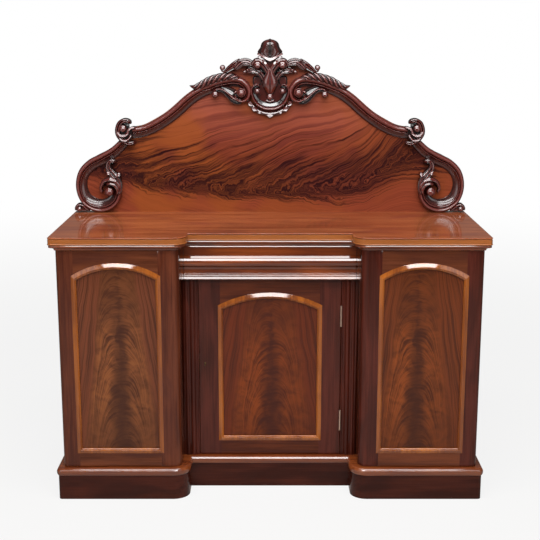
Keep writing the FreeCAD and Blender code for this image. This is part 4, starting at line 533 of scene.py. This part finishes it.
finishes["board"] = galleryFlame("flameVeneerGallery", dict(
    # the feather's line over the top board, x and height in mm; its plumes reach aboveMm over it, and
    # under it the first of belowMm at the left and the second at the right
    feather=[(-700, 150), (-556, 130), (-371, 97), (-233, 84), (-94, 74), (92, 82), (230, 76), (330, 92),
             (407, 140), (470, 184), (560, 215), (700, 225)],
    lean=0.6, sweep=6.5, under=4, plumeMm=40, lineMm=13, patchMm=95, aboveMm=200,
    belowMm=(35, 90), dark="#4c1e16", light="#8c422a", warm="#884620", pale="#985444", patch="#5c2822",
    core="#220d10", gloss=0.08, ripple=16, bump=0.08))
print("finishes made:", len(finishes))


# Nodes that keep their own shape

keptNodes = dict(
    leftPanel=["left_door_panel"],
    rightPanel=["right_door_panel"],
    centrePanel=["centre_door_panel"],
    board=["gallery_backboard"],
    stile=["left_outer_side", "right_outer_side", "left_inner_side", "right_inner_side"],
    pine=["pedestal_bottoms", "pedestal_shelves", "pedestal_tops", "centre_bottom", "centre_shelf",
          "drawer_guides", "back_panels", "plinth_bearers", "gallery_battens", "drawer_sides",
          "drawer_back", "drawer_bottom"],
    rail=["drawer_divider", "left_door_rails", "right_door_rails"],
    # the centre door's rails take the darker copy: painted shade
    railPaintedShade=["centre_door_rails"],
    plinth=["plinth_centre"],
    steel=["batten_screws"],
    brass=["lock_strike", "catch_clips", "centre_lock_case", "lock_bolt"],
)
for finish, names in keptNodes.items():
    for node in names:
        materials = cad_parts[node].data.materials
        materials.clear()
        materials.append(finishes[finish])

# rounded nodes are copied and merged so that their curves shade smoothly
roundedNodes = [
    ("left_door_stiles", "stile", "left_door", "mahogany"),
    # the right and centre doors' stiles take the darker copy: painted shade
    ("right_door_stiles", "stilePaintedShade", "right_door", "mahogany"),
    ("centre_door_stiles", "stilePaintedShade", "centre_door", "mahogany"),
    ("reeded_pilasters", "pilaster", "carcass", "mahogany"),
    ("plinth_left", "plinth", "carcass", "mahogany"),
    ("plinth_right", "plinth", "carcass", "mahogany"),
    ("centre_hinge_door_leaves", "knuckle", "centre_door", "brass"),
    ("centre_hinge_fixed_leaves", "knuckle", "carcass", "brass"),
    ("keyhole_escutcheon", "keyhole", "centre_door", "brass"),
    ("pivot_plates", "brass", "carcass", "brass"),
    ("left_door_brasses", "brass", "left_door", "brass"),
    ("right_door_brasses", "brass", "right_door", "brass"),
]
for node, finish, body, slot in roundedNodes:
    smoothCopy(node, finish, body)
print("frame's own pieces finished")


def breakfrontPath(outer, inner, front, recess, outerRound=12, innerRound=56):
    # rows (hub x, hub y, radius, way x, way y, mitre x, mitre y) from the back right corner
    # round to the back left one; the left half is the right one mirrored
    rows = [(outer, sideboard["topBack"], 0, 1, 0, 1, 0)]
    for t in np.linspace(0, np.pi / 2, 10):
        rows.append((outer - outerRound, front + outerRound, outerRound, np.cos(t), -np.sin(t), 1, -1))
    for t in np.linspace(0, np.pi / 2, 22):
        rows.append((inner + innerRound, front + innerRound, innerRound, -np.sin(t), -np.cos(t), -1, -1))
    rows.append((inner, recess, 0, -1, -1, -1, -1))
    right = np.array(rows, float)
    return np.concatenate([right, right[::-1] * [-1, 1, 1, -1, 1, -1, 1]])


def followPath(rows, section):
    # point(u) = hub + max(r + u, 0) way + min(r + u, 0) mitre, where u is how far outwards
    # of the line the section's point lies
    u, z = np.asarray(section, float).T
    reach = rows[:, None, 2] + u[None, :]
    xy = (rows[:, None, 0:2] + np.maximum(reach, 0)[..., None] * rows[:, None, 3:5]
          + np.minimum(reach, 0)[..., None] * rows[:, None, 5:7])
    return np.dstack([xy, np.broadcast_to(z, reach.shape)])


def roundRun(centreU, centreZ, radiusU, radiusZ, start, end, count):
    # points of an elliptic arc, angles in degrees from the outward direction
    t = np.radians(np.linspace(start, end, count))
    return np.column_stack([centreU + radiusU * np.cos(t), centreZ + radiusZ * np.sin(t)]).tolist()


def held(a, b):
    # a straight run with support points just inside its ends, which keep it shading flat
    a, b = np.array(a, float), np.array(b, float)
    return [tuple(a + (b - a) * k) for k in (0, 0.07, 0.93, 1)]


def rearRail(x, y0, y1, z0, z1):
    # a plain rail across the back: its section carried along x, with eased arrises
    section = [(y0 + 1, z0), (y1, z0), (y1, z1), (y0 + 1, z1), (y0, z1 - 1), (y0, z0 + 1)]
    grid = np.array([[(side * x, y, z) for y, z in section] for side in (-1, 1)])
    return grid, False, True, True


# the sections' points lie outwards of the line and above the floor
topLine = breakfrontPath(outer=750, inner=281, front=-293, recess=-205)
edgeSection = [
    (-6, 914), *roundRun(-2.5, 916.5, 2.5, 2.5, -90, 75, 9), (-2.2, 919.4), (-1.5, 920), (-1.3, 926.5),
    (-1.5, 933.2), (-2.2, 934), (-3.5, 934.4), (-3.5, 935.6), *roundRun(-2.6, 937.9, 2.1, 2.1, -70, 90, 9),
    (-4.5, 940), (-8, 940)]
topGrid = np.swapaxes(followPath(topLine, edgeSection), 0, 1)         # capped above and below
meshPiece("topBoard", [(topGrid, False, True, True)], "top", "carcass", ["top_board"])

bedSection = [
    (-66, 894), (-20, 894), (-20, 896), *roundRun(-8, 896, 12, 8, 180, 90, 9), (-8, 904.6), (-5, 904.9), (-3.4, 906),
    (-2.9, 907.8), (-3.3, 910.2), *held((-4.1, 911.9), (-4.6, 913.2)), (-6.4, 913.8), (-8, 914), (-66, 914)]
meshPiece("bedMoulding", [(followPath(topLine, bedSection), False, True, True), rearRail(684, 257, 279, 894, 914)],
          "frieze", "carcass", ["bed_moulding"])

cappingSection = [
    (-60, 88), (0, 88), *roundRun(0, 101, 6, 13, -90, 20, 19), *held((5.2, 106.6), (2.8, 110.8)), (1.2, 112.6),
    (-1, 113.6), (-6, 113.95), (-60, 113.95)]
plinthLine = breakfrontPath(outer=746, inner=286, front=-289, recess=-173)
meshPiece("plinthCapping", [(followPath(plinthLine, cappingSection), False, True, True),
                            rearRail(686, 257, 279, 88, 113.95)],
          "nose", "carcass", ["plinth_moulding"])
print("top, bed moulding and plinth capping made")


# across the frieze from the top down, as (behind the face line, below the top): a fine bead, the
# flat, the swell with two faces that look up on its upper side, the hollow, and two lips
frieze = dict(face=-205, back=-143, top=892.5)
friezeProfile = [
    *held((25.5, 0), (23.9, 4)), (24.6, 4.9), (27.6, 5.4),
    *held((27.6, 6), (26.6, 34.4)), (26.2, 34.9), (22.8, 35.4),
    *held((22.2, 35.8), (17.4, 43.5)), (17.9, 44), (17.3, 44.5),
    *held((16.4, 44.9), (13.8, 51.5)), (13, 54), (12.4, 57.5), (12.5, 61.5), (13.6, 65.5), (15.8, 69.3), (19.4, 72.4),
    (22.6, 73.6), (27, 74.6), (29.8, 77.5), (31.2, 81.5), (31.6, 86),
    *held((31.2, 88.5), (29.4, 98.6)), (28.6, 99.6), (25.6, 100), (24.8, 101.4),
    *held((24.35, 103.9), (23.12, 107.2)), (23.6, 108), (25.6, 108.3), (25.6, 109.3),
    *held((23.45, 110.6), (21.41, 116)), (20.8, 117.6), (21.4, 119.8), (24, 121.5)]
friezeSection = [(frieze["back"], frieze["top"])]
friezeSection += [(frieze["face"] + out, frieze["top"] - down) for out, down in friezeProfile]
friezeSection += [(frieze["back"], friezeSection[-1][1])]


def friezeLength(x0, x1):
    # the section carried along x from x0 to x1
    return np.array([[(x, y, z) for y, z in friezeSection] for x in (x0, x1)]), False, True, True


meshPiece("drawerFront", [friezeLength(-300, 300)], "frieze", "drawer", ["drawer_front"])
meshPiece("friezeEnds", [friezeLength(-311, -301.5), friezeLength(301.5, 311)], "frieze", "carcass",
          ["frieze_end_blocks"])
print("frieze made")


moulding = dict(width=17, archWidth=22)     # as seen on the sides and on the arch
openings = dict(
    # middle, half width, bottom, apex, rise of the arch, and the face that the moulding lies on
    left=(-525, 152, 165, 850, 45, sideboard["doorFace"]),
    right=(525, 152, 165, 850, 45, sideboard["doorFace"]),
    centre=(0, 184, 168, 719, 46, sideboard["centreFace"]),
)
# as (inset from 0 at the outer edge to 1 at the inner one, proud of the face): a slope, a nose, a
# quirk, a bead and the rebate for the panel
bolectionSection = [
    (0, 0), (0, 0.7), *held((0.03, 1), (0.59, 6.2)), (0.63, 6.4), (0.67, 6.35), (0.71, 5.9), (0.74, 5), (0.755, 3.8),
    (0.765, 2.8), (0.78, 2.7), (0.8, 3.2), (0.84, 3.5), (0.88, 3.1), (0.91, 2.2), (0.93, 0.9), (0.95, 0.2),
    (1, -0.8), (1, -7.9), (0.5, -7.9), (0.48, 0)]


def archedMoulding(centre, half, bottom, apex, rise, face):
    # the section carried round an arched opening. With inset s and widths w and v: sides
    # x = centre + t (half - w s); arch z = hub + sqrt((R - v s)2 - x2), R = (half2 + rise2) / (2 rise).
    # The slope is planed a fifth lower on the sides than in the middle of the arch
    s, proud = np.transpose(bolectionSection)
    radius = (half ** 2 + rise ** 2) / (2 * rise)
    reach = half - moulding["width"] * s
    base = bottom + moulding["width"] * s
    rows = []
    for t in np.linspace(-1, 1, 49):                                 # the arch, left to right
        arch = apex - radius + np.sqrt((radius - moulding["archWidth"] * s) ** 2 - (t * reach) ** 2)
        rows.append((t * reach, arch, 1 - 0.2 * np.clip((abs(t) - 0.25) / 0.3, 0, 1)))
    rows += [(reach, base, 0.8), (-reach, base, 0.8)]                # right side down, bottom back
    grid = np.array([np.column_stack([centre + x, face - np.where(proud > 0, proud * full, proud), z])
                     for x, z, full in rows])
    return grid, True, True, False


for side, opening in openings.items():
    meshPiece(side + "DoorMoulding", [archedMoulding(*opening)], "moulding", side + "_door",
              [side + "_door_moulding"], sharp=15)
print("door mouldings made")


# The gallery's carving, worked out for the right half as (x from the middle, height above the top,
# width, rise from the board) and mirrored for the left

def onBoard(x, h, proud, polishAndShade):
    # gallery coordinates in the frame: y in front of the board, z above the top
    return np.stack(np.broadcast_arrays(x, sideboard["galleryFace"] - proud, sideboard["topSurface"] + h,
                                        polishAndShade), -1)


def halfRound(x):
    # sqrt(1 - x2), and nothing beyond -1 and 1
    return np.sqrt(np.clip(1 - x ** 2, 0, 1))


def carve(stations, shape, side=1, count=90, across=33, ends=(0.06, 0.06), lean=0.28):
    # A band along its middle line. With n the line's unit normal, w its width and R its rise,
    # point(s, t) = line(s) + n a(s, t) w/2, proud by p(s, t) R; shape gives a, p and the relief.
    # The relief sets the carving's colour: kept low in grooves, dishes and towards the band's edges, it
    # paints shade there.
    # It leans back: each mm below the line stands out by lean more, so its face looks up.
    # Over the first and last e of the line both shrink as sqrt(1 - (1 - s/e)2), so it ends round
    line = smoothLine(stations, count)
    middleX, middleH, width, rise = line.T[:, :, None]
    s = np.linspace(0, 1, count)[:, None]
    t = np.linspace(-1, 1, across)[None, :]
    way = np.gradient(line[:, :2], axis=0)
    way /= np.linalg.norm(way, axis=1)[:, None]
    a, p, polishAndShade = shape(s, t)
    taper = halfRound(1 - np.minimum(s / ends[0], 1)) * halfRound(1 - np.minimum((1 - s) / ends[1], 1))
    off = side * a * width / 2 * taper
    h = middleH + way[:, :1] * off
    front = onBoard(middleX - way[:, 1:] * off, h, p * rise * taper ** 0.6 + lean * (middleH - h), polishAndShade)
    back = front[:, [-1, 0]].copy()
    back[..., 1] = sideboard["galleryFace"] + sideboard["sunk"]
    back[..., 3] = 0
    return np.concatenate([front, back], 1), False, True, False


def railShape(torus, bead):
    # across the rail from outside: a torus 0.40 + 0.60 sqrt(1 - v2), a bead 0.42 + 0.34 sqrt(1 - v2)
    # and a cove falling as (1 - w)^2.2 to a thin lip; torus and bead are their shares of the
    # width, as (place along the rail, share)
    def shape(s, t):
        q = (t + 1) / 2
        wide = np.interp(s, *np.transpose(torus))
        thin = np.interp(s, *np.transpose(bead))
        w = np.clip((q - 0.68) / 0.32, 0, 1)
        u = np.where(q < 0.5, q / 0.5 * wide,
                     np.where(q < 0.68, wide + (q - 0.5) / 0.18 * thin, wide + thin + w * (1 - wide - thin)))
        roll = 0.40 + 0.60 * halfRound(q / 0.25 - 1)
        ring = 0.42 + 0.34 * halfRound((q - 0.59) / 0.09)
        cove = 0.16 + 0.32 * (1 - w) ** 2.2 + 0.07 * np.exp(-((w - 0.93) / 0.05) ** 2)
        p = np.where(q < 0.5, roll, np.where(q < 0.68, ring, cove))
        polishAndShade = np.where(q < 0.5, 0.25 + 0.75 * (roll - 0.4) / 0.6,
                          np.where(q < 0.68, (ring - 0.42) / 0.4, 0.6 - 0.2 * w))
        return 2 * u - 1, p, polishAndShade
    return shape


def ridged(count, depth, share=0.14):
    # a back (1 - share) + share sqrt(1 - t2) with count - 1 grooves along it, cut as the cube of a
    # cosine so that the ridges between them are broad
    def shape(s, t):
        groove = (0.5 + 0.5 * np.cos(np.pi * count * (t + 1))) ** 3 if count else 0
        groove = groove * np.clip((1 - np.abs(t)) * 6, 0, 1)
        return t, 1 - share + share * halfRound(t) - depth * groove, (1 - groove) * (0.3 + 0.7 * (1 - t ** 2))
    return shape


def creased(depth, wide, share):
    # the same back with one fine groove exp(-(t / wide)2) along its middle
    def shape(s, t):
        groove = np.exp(-(t / wide) ** 2)
        back = 1 - share + share * halfRound(t)
        return t, back - depth * groove, (1 - 0.8 * groove) * (0.4 + 0.6 * (1 - t ** 2))
    return shape


def feathered(lobes, skew, depth, scallop):
    # a leaf with slanting flutes: each flute rises as phase^0.7 from its valley and drops sharply
    # at its far side, with phase = lobes s - skew (t + 1)/2 less its whole part; the edge swells
    # with it by the scallop share
    def shape(s, t):
        phase = (lobes * s - skew * (t + 1) / 2) % 1.0
        swell = np.sin(np.pi * phase ** 0.7)
        a = t * (1 + scallop * (swell - 0.6) * np.abs(t) ** 3)
        p = 0.6 + 0.25 * halfRound(t) + depth * (swell - 0.5) * (1 - 0.4 * t ** 2)
        return a, p, (0.15 + 0.85 * swell) * (0.55 + 0.45 * (1 - t ** 2))
    return shape


def ledge(s, t):
    # a flat face whose lower edge is rounded over beyond 0.8
    return t, 0.9 + 0.1 * halfRound(np.maximum(t - 0.8, 0) / 0.2), 1


def cupped(depth, floor=0.0):
    # a hollow leaf: high rims and a dish (1 - t2)^0.8 deep between them
    def shape(s, t):
        dish = (1 - t ** 2) ** 0.8
        return t, 1 - depth * dish, 0.8 - (0.8 - floor) * dish
    return shape


def lipped(edge, dip):
    # a scroll's face: a round rim on its outer side up to edge, a fine groove, then a face that
    # falls evenly by dip to a fine inner lip
    def shape(s, t):
        q = (t + 1) / 2
        w = np.clip((q - edge) / (1 - edge), 0, 1)
        rim = 0.7 + 0.3 * halfRound(2 * np.clip(q / edge, 0, 1) - 1)
        bowl = 0.72 - dip * w - 0.1 * np.exp(-(w / 0.1) ** 2) + 0.1 * np.exp(-((w - 0.94) / 0.05) ** 2)
        return t, np.where(q < edge, rim, bowl), np.where(q < edge, 0.9, 0.5 - 0.3 * w)
    return shape


def dome(x, h, radius, proud, rings=0, squeeze=0.6, lean=0.2):
    # a turned eye: wall, then rings of bead, then a ball cap of height squeeze times its radius,
    # all of it leaning back
    core = radius * (1 - 0.24 * rings)
    foot = proud - core * squeeze
    profile = [(0, -sideboard["sunk"], 0), (radius, -sideboard["sunk"], 0), (radius, foot - 4, 0.2)]
    for k in range(rings):
        outer = radius * (1 - 0.24 * k)
        for t in np.linspace(0, np.pi, 9):
            profile.append((outer - radius * 0.11 * (1 - np.cos(t)), foot - 3 + 4 * np.sin(t), np.sin(t)))
    for t in np.linspace(0, np.pi / 2, 14):
        profile.append((core * np.cos(t), foot + core * squeeze * np.sin(t), 0.3 + 0.7 * np.sin(t)))
    r, p, polishAndShade = (np.array(c)[:, None] for c in zip(*profile))
    turn = np.linspace(0, 2 * np.pi, 37)[None, :-1]
    p = p - np.where(p > 0, lean, 0) * r * np.sin(turn)
    return onBoard(x + r * np.cos(turn), h + r * np.sin(turn), p, polishAndShade), False, True, False


def petal(x0, h0, x1, h1, width, rise, grooves=1, tip=0.5):
    # a short blunt lobe from its root to its tip
    mid = ((x0 + x1) / 2, (h0 + h1) / 2)
    line = [(x0, h0, width * 0.6, rise * 0.8), (*mid, width, rise), (x1, h1, width * tip, rise * 0.8)]
    return carve(line, ridged(grooves, 0.25), count=24, across=17, ends=(0.15, 0.35))


def facet(x, h, wide, long_, turn, rise):
    # a cut lobe on the edge of a frill, turned by the given degrees; its face leans back by one in
    # two, so that its lower end stands out
    c, s = math.cos(math.radians(turn)), math.sin(math.radians(turn))
    ring = np.array([(-1, 0), (-0.55, 0.75), (0.35, 0.9), (1, 0.2), (0.9, -0.45), (-0.3, -0.9)])
    along, over = ring[:, 0] * long_ / 2, ring[:, 1] * wide / 2
    rows = []
    for share, base, polishAndShade in ((0, None, 0), (1, None, 0), (1, 0.6, 0.7), (0.8, 0.8, 1.0), (0, 0.85, 1.0)):
        dx, dh = share * (along * c - over * s), share * (along * s + over * c)
        rows.append(onBoard(x + dx, h + dh, -sideboard["sunk"] if base is None else rise * base - 0.5 * dh, polishAndShade))
    return np.array(rows), False, True, False


def carvedPiece(name, node, half, middle=(), finish="carved"):
    # the right half with its mirror image, and what stands in the middle
    surfaces = half + [(grid * [-1, 1, 1, 1], *rest) for grid, *rest in half] + list(middle)
    meshPiece(name, surfaces, finish, "carcass", [node])


# Rails: the upper one runs from the mid scroll over the shoulder and curls into the crest
upperRail = dict(
    line=[(530, 301, 42, 22), (471, 311, 42, 22), (429, 330, 43, 22), (388, 355, 43, 22), (343, 390, 43, 22),
          (304, 425, 43, 22), (267, 450, 42, 22), (230, 467, 40, 23), (193, 482, 38, 26), (159, 491, 37, 29),
          (134, 495, 38, 31), (111, 491, 38, 33), (93, 477, 36, 34), (83, 456, 31, 34), (88, 434, 24, 33),
          (106, 424, 18, 32), (124, 430, 13, 30), (130, 447, 8, 28)],
    torus=[(0, 0.46), (0.55, 0.46), (0.75, 0.60), (1, 0.62)],
    bead=[(0, 0.13), (0.6, 0.14), (0.8, 0.16), (1, 0.2)],
)
earRail = dict(
    line=[(549, 270, 36, 22), (590, 231, 40, 22), (635, 204, 42, 22), (680, 181, 42, 22), (709, 150, 42, 22),
          (719, 118, 42, 22), (717, 82, 44, 23), (702, 50, 47, 24), (675, 30, 50, 25), (641, 25, 50, 27),
          (610, 36, 46, 30), (590, 59, 42, 32), (586, 87, 37, 33), (598, 108, 31, 34), (619, 115, 25, 34),
          (639, 106, 18, 33), (646, 88, 12, 31)],
    torus=[(0, 0.46), (0.35, 0.44), (0.55, 0.30), (0.75, 0.36), (1, 0.5)],
    bead=[(0, 0.13), (0.5, 0.12), (1, 0.2)],
)
for name, node, rail, side, count, eye in (
        ("shoulderRails", "gallery_upper_rails", upperRail, 1, 260, dome(107, 454, 17, 41, rings=1)),
        ("earRails", "gallery_ear_rails", earRail, -1, 280, dome(612, 82, 17, 42))):
    band = carve(rail["line"], railShape(rail["torus"], rail["bead"]), side=side, count=count, across=61,
                 ends=(0.01, 0.02), lean=0.05)
    carvedPiece(name, node, [band, eye], finish="railwood")

# Leaves on the crest's scrolls: a feathered leaf over the rail, the hollow leaf under the curl and
# its tendril, and the spray that runs to the middle
crestLeaves = [
    carve([(302, 479, 3, 20), (284, 474, 16, 27), (259, 481, 26, 31), (226, 498, 29, 34), (193, 508, 29, 36),
           (159, 513, 28, 37), (129, 510, 22, 37), (110, 502, 8, 36)], feathered(9, -1.4, 0.22, 0.12),
          count=240, across=31),
    carve([(120, 436, 14, 26), (133, 449, 30, 25), (150, 460, 30, 23), (168, 468, 22, 21), (186, 472, 8, 16)],
          cupped(0.4, 0.25)),
    petal(123, 462, 137, 448, 12, 30),
    carve([(104, 420, 14, 30), (124, 420, 20, 30), (140, 428, 20, 30), (154, 441, 17, 29), (169, 455, 14, 28),
           (186, 463, 12, 27), (202, 461, 11, 27), (212, 451, 8, 26)], lipped(0.45, 0.08), side=-1, count=110),
    dome(205, 447, 12, 31),
    # the spray: ridges side by side, and the pointed red leaf laid against their ends
    carve([(58, 556, 10, 38), (68, 561, 20, 38), (80, 566, 24, 38), (93, 568, 26, 37), (107, 564, 26, 36),
           (120, 553, 24, 34), (130, 541, 15, 31), (136, 532, 5, 26)], ridged(3, 0.09, 0.07), count=130,
          across=57, ends=(0.06, 0.12), lean=0.34),
    carve([(113, 578, 3, 26), (121, 571, 10, 29), (131, 561, 17, 31), (143, 550, 20, 31), (156, 540, 17, 30),
           (167, 532, 11, 28), (176, 529, 6, 26)], ridged(2, 0.2), count=90),
    carve([(168, 529, 5, 24), (178, 532, 5, 25), (182, 541, 5, 26)], ridged(0, 0), count=24, across=13),
    dome(177, 545, 10, 29),
]
carvedPiece("crestScrollLeaves", "crest_scrolls", crestLeaves)


# The crest: bud, two great curls, side sprigs, collar and finial, over a shield-shaped scroll
def finialSurface():
    # turned about x 0 on the board's face: radius R(h) (1 - 0.07 (1 - |sin 3f|)^4) for the lobes, the
    # rim let down in front by 24 cos2 f, and cut flat at the back of the board; below the ball the
    # front is drawn in to half of the radius
    profile = np.array([(0, 588), (22, 588), (36, 594), (44, 598), (46.5, 601.5), (45.5, 606), (42, 611), (38, 616),
                        (35.5, 621), (34.2, 627), (32.3, 633), (28.3, 638.5), (22.3, 643), (14.5, 646.4), (7, 648.2),
                        (4, 648.7), (3.2, 649.6), (2, 650.6), (0, 650.9)], float)
    r, h = profile.T[:, :, None]
    f = np.linspace(0, 2 * np.pi, 97)[None, :-1]
    body = np.clip((h - 604) / 10, 0, 1) * np.clip((648 - h) / 6, 0, 1)
    lobed = r * (1 - 0.07 * body * (1 - np.abs(np.sin(3 * f))) ** 4)
    dip = 24 * np.clip(np.cos(f), 0, 1) ** 2 * np.clip((618 - h) / 26, 0, 1)
    climb = np.clip((h - 598) / 34, 0, 1)
    drawn = 0.5 + 0.5 * climb ** 2 * (3 - 2 * climb)
    x = lobed * np.sin(f)
    y = np.minimum(sideboard["galleryFace"] - lobed * drawn * np.cos(f), sideboard["topBack"] - 0.3)
    # the relief is lowest in the grooves between the lobes, painted shade there; even on the lobes it stays below a
    # crown's
    polishAndShade = np.broadcast_to(0.15 + 0.5 * (1 - (1 - np.abs(np.sin(3 * f))) ** 2), x.shape)
    return np.stack([x, y, sideboard["topSurface"] + h - dip, polishAndShade], -1), False, True, False


def plate(x, h, halfX, halfH, profile, polishAndShade):
    # a shape with round corners: radius of its superellipse (cos4 + sin4)^-1/4; profile is
    # (share of the radius, proud) from the rim to the middle
    turn = np.linspace(0, 2 * np.pi, 61)[None, :-1]
    square = (np.cos(turn) ** 4 + np.sin(turn) ** 4) ** -0.25
    back = [(0, -sideboard["sunk"]), (profile[0][0], -sideboard["sunk"])]
    r, p = (np.array(c)[:, None] for c in zip(*back, *profile))
    return (onBoard(x + halfX * r * square * np.cos(turn), h + halfH * r * square * np.sin(turn), p, polishAndShade),
            False, True, False)


# a sunk square with a soft rim, coloured near the hollow colour all over: painted shade in the pocket
pocket = [(1.12, 3.5), (1.06, 5.4), (0.98, 6), (0.9, 5), (0.84, 2.6), (0.74, 1.2), (0.5, 0.7), (0, 0.7)]
crestHalf = [
    # great curl
    carve([(2, 500, 12, 36), (4, 515, 16, 40), (9, 531, 18, 43), (18, 546, 21, 46), (29, 559, 24, 48),
           (40, 567, 26, 48), (52, 568, 24, 46), (60, 560, 18, 43), (57, 549, 12, 40), (47, 546, 8, 38)],
          ridged(2, 0.09, 0.07), count=130, across=41),
    dome(46, 557, 14.5, 56, squeeze=0.65, lean=0.25),
    # a low band, dark in its middle: painted shade in the gap between the stem and the side sprig
    carve([(17, 500, 4, 3), (20, 516, 9, 3), (27, 532, 12, 3), (38, 545, 8, 3)], cupped(0.5), count=40, across=17),
    # side sprig
    carve([(21, 490, 10, 28), (24, 503, 16, 31), (30, 516, 20, 33), (39, 527, 22, 34), (51, 535, 23, 34),
           (65, 537, 22, 33), (78, 533, 18, 31), (88, 526, 7, 28)], ridged(2, 0.08, 0.06), count=90, across=41,
          lean=0.46),
    petal(76, 541, 92, 534, 15, 31),
    dome(94, 531, 7, 24),
    # scroll of the shield, from its ball to the middle, where the other half meets it
    carve([(37, 470, 6, 30), (46, 479, 11, 33), (58, 476, 15, 35), (64, 462, 17, 36), (61, 445, 20, 36),
           (52, 427, 23, 36), (37, 412, 26, 36), (19, 404, 28, 36), (0, 402, 28, 36), (-10, 403, 28, 36)],
          lipped(0.4, 0.06), side=-1, count=120, across=45, ends=(0.05, 0.02)),
    dome(47, 460, 11.5, 41, rings=1),
    # frill under the shield
    carve([(74, 420, 10, 12), (66, 404, 18, 14), (50, 390, 20, 15), (28, 381, 20, 15), (0, 377, 20, 15),
           (-6, 377, 20, 15)], ridged(0, 0, 0.2), count=60, across=17, ends=(0.1, 0.01)),
    facet(75, 413, 20, 29, 52, 20),
    facet(59, 394, 24, 30, 42, 21),
    facet(40, 383, 20, 25, 25, 18),
    # collar arms: the white rim under the finial and a second fold below it
    carve([(48, 597, 6, 43), (38, 592, 7, 45), (24, 585, 8, 48), (11, 578, 10, 50), (-5, 573, 12, 51)],
          ledge, count=50, across=17, ends=(0.08, 0.01), lean=0.19),
    carve([(46, 586, 5, 38), (33, 577, 7, 42), (20, 565, 7, 45), (9, 552, 6, 45), (3, 538, 4, 40)],
          ledge, count=50, across=17, lean=0.3),
    # the pocket, coloured dark as painted shade
    plate(48, 497, 15, 15.5, pocket, 0.1),
]
crestMiddle = [
    # the ground between the scrolls, and the stem behind the collar
    plate(0, 470, 64, 54, [(1, 1.5), (0.96, 2.4), (0.9, 2.7), (0, 2.7)], 0.9),
    carve([(0, 520, 44, 22), (0, 545, 52, 24), (0, 568, 62, 24), (0, 590, 70, 20)], ridged(0, 0), count=30,
          across=25),
    # bud, smooth but for one fine groove
    carve([(0, 446, 22, 32), (0, 456, 34, 37), (0, 468, 46, 42), (0, 483, 57, 46), (0, 497, 58, 47),
           (0, 510, 48, 47), (0, 524, 34, 47), (0, 545, 22, 46)], creased(0.08, 0.05, 0.3), count=80, across=57,
          lean=0.08),
    dome(0, 439, 12, 40),
    carve([(-17, 425, 7, 24), (0, 422, 12, 28), (17, 425, 7, 24)], ridged(0, 0), count=24, across=13),
    # pendant under the shield: two faces on a ridge, leaning back so that the point stands out
    (np.array([onBoard(np.array([0, 27, 27, 0]) * k, np.array([388, 387, 383, 359]),
                       np.array(p), r) for p, r, k in (
        ([-sideboard["sunk"]] * 4, 0.2, -1), ([8, 8, 10, 21], 1, -1), ([9, 11, 13, 24], 1, 0),
        ([8, 8, 10, 21], 1, 1), ([-sideboard["sunk"]] * 4, 0.2, 1))]), False, True, True),
    finialSurface(),
]
carvedPiece("crestCarving", "gallery_crest", crestHalf, crestMiddle)

midScroll = [
    carve([(524, 336, 8, 30), (530, 346, 14, 33), (544, 350, 17, 35), (561, 343, 19, 36), (571, 324, 20, 36),
           (572, 303, 20, 36), (563, 285, 19, 35), (547, 271, 18, 34), (526, 265, 16, 32), (507, 270, 8, 28)],
          ridged(2, 0.2), count=120, across=37),
    # the inside of the hook, a raised disc coloured dark as painted shade, and its red ball
    plate(548, 328, 17, 17, [(1, 14), (0.9, 15), (0, 12)], 0.0),
    dome(553, 321, 14, 40),
    carve([(576, 311, 7, 34), (568, 298, 10, 39), (552, 293, 11, 41), (537, 300, 11, 39), (531, 316, 10, 36),
           (519, 323, 9, 33), (505, 324, 7, 30)], ridged(0, 0, 0.06), count=70, across=17, lean=0.4),
    carve([(572, 290, 6, 33), (556, 277, 10, 37), (541, 276, 10, 37), (529, 286, 8, 35), (523, 298, 6, 31)],
          ridged(0, 0, 0.06), count=60, across=17, lean=0.4),
    # a ground behind the rings, coloured dark: painted shade in the gaps between them
    plate(540, 300, 22, 20, [(1, 24), (0.9, 26), (0, 27)], 0.1),
]
carvedPiece("midScrolls", "mid_scrolls", midScroll)

earLeaf = [
    carve([(580, 66, 10, 34), (574, 82, 16, 37), (572, 100, 21, 38), (576, 118, 25, 38), (585, 134, 28, 38),
           (597, 148, 28, 37), (607, 162, 24, 36), (613, 176, 19, 35), (611, 190, 16, 34), (602, 198, 14, 33),
           (590, 197, 13, 32), (583, 190, 10, 29)], ridged(2, 0.08, 0.07), count=130, across=41),
    facet(613, 152, 14, 18, 55, 50),
    facet(573, 147, 15, 19, -60, 52),
    # crescents round the rail's eye, the outer one brightest
    carve([(637, 76, 6, 30), (643, 90, 9, 31), (641, 106, 11, 34), (634, 119, 12, 36), (622, 127, 13, 38),
           (608, 130, 14, 41), (592, 126, 14, 41), (580, 115, 13, 40), (572, 101, 11, 37), (570, 88, 7, 34)],
          ridged(0, 0, 0.06), count=80, across=21, lean=0.48),
    carve([(622, 106, 7, 35), (612, 113, 10, 39), (600, 113, 12, 40), (589, 106, 12, 40), (582, 94, 11, 38),
           (580, 80, 9, 36), (585, 70, 6, 33)], ridged(0, 0, 0.06), count=80, across=21, lean=0.48),
]
carvedPiece("earLeaves", "ear_leaves", earLeaf)

footScroll = [
    carve([(744, 6, 8, 20), (741, 20, 10, 24), (731, 30, 11, 25), (716, 26, 10, 24), (703, 14, 9, 22),
           (690, 5, 6, 18)], ridged(1, 0.2), count=60, across=17),
    carve([(740, 8, 12, 11), (727, 13, 22, 13), (712, 11, 19, 13), (700, 6, 10, 11)], ridged(0, 0, 0.2), count=30,
          across=13, lean=0),
    dome(730, 14, 10, 28),
]
carvedPiece("footScrolls", "foot_scrolls", footScroll)
print("carving made")
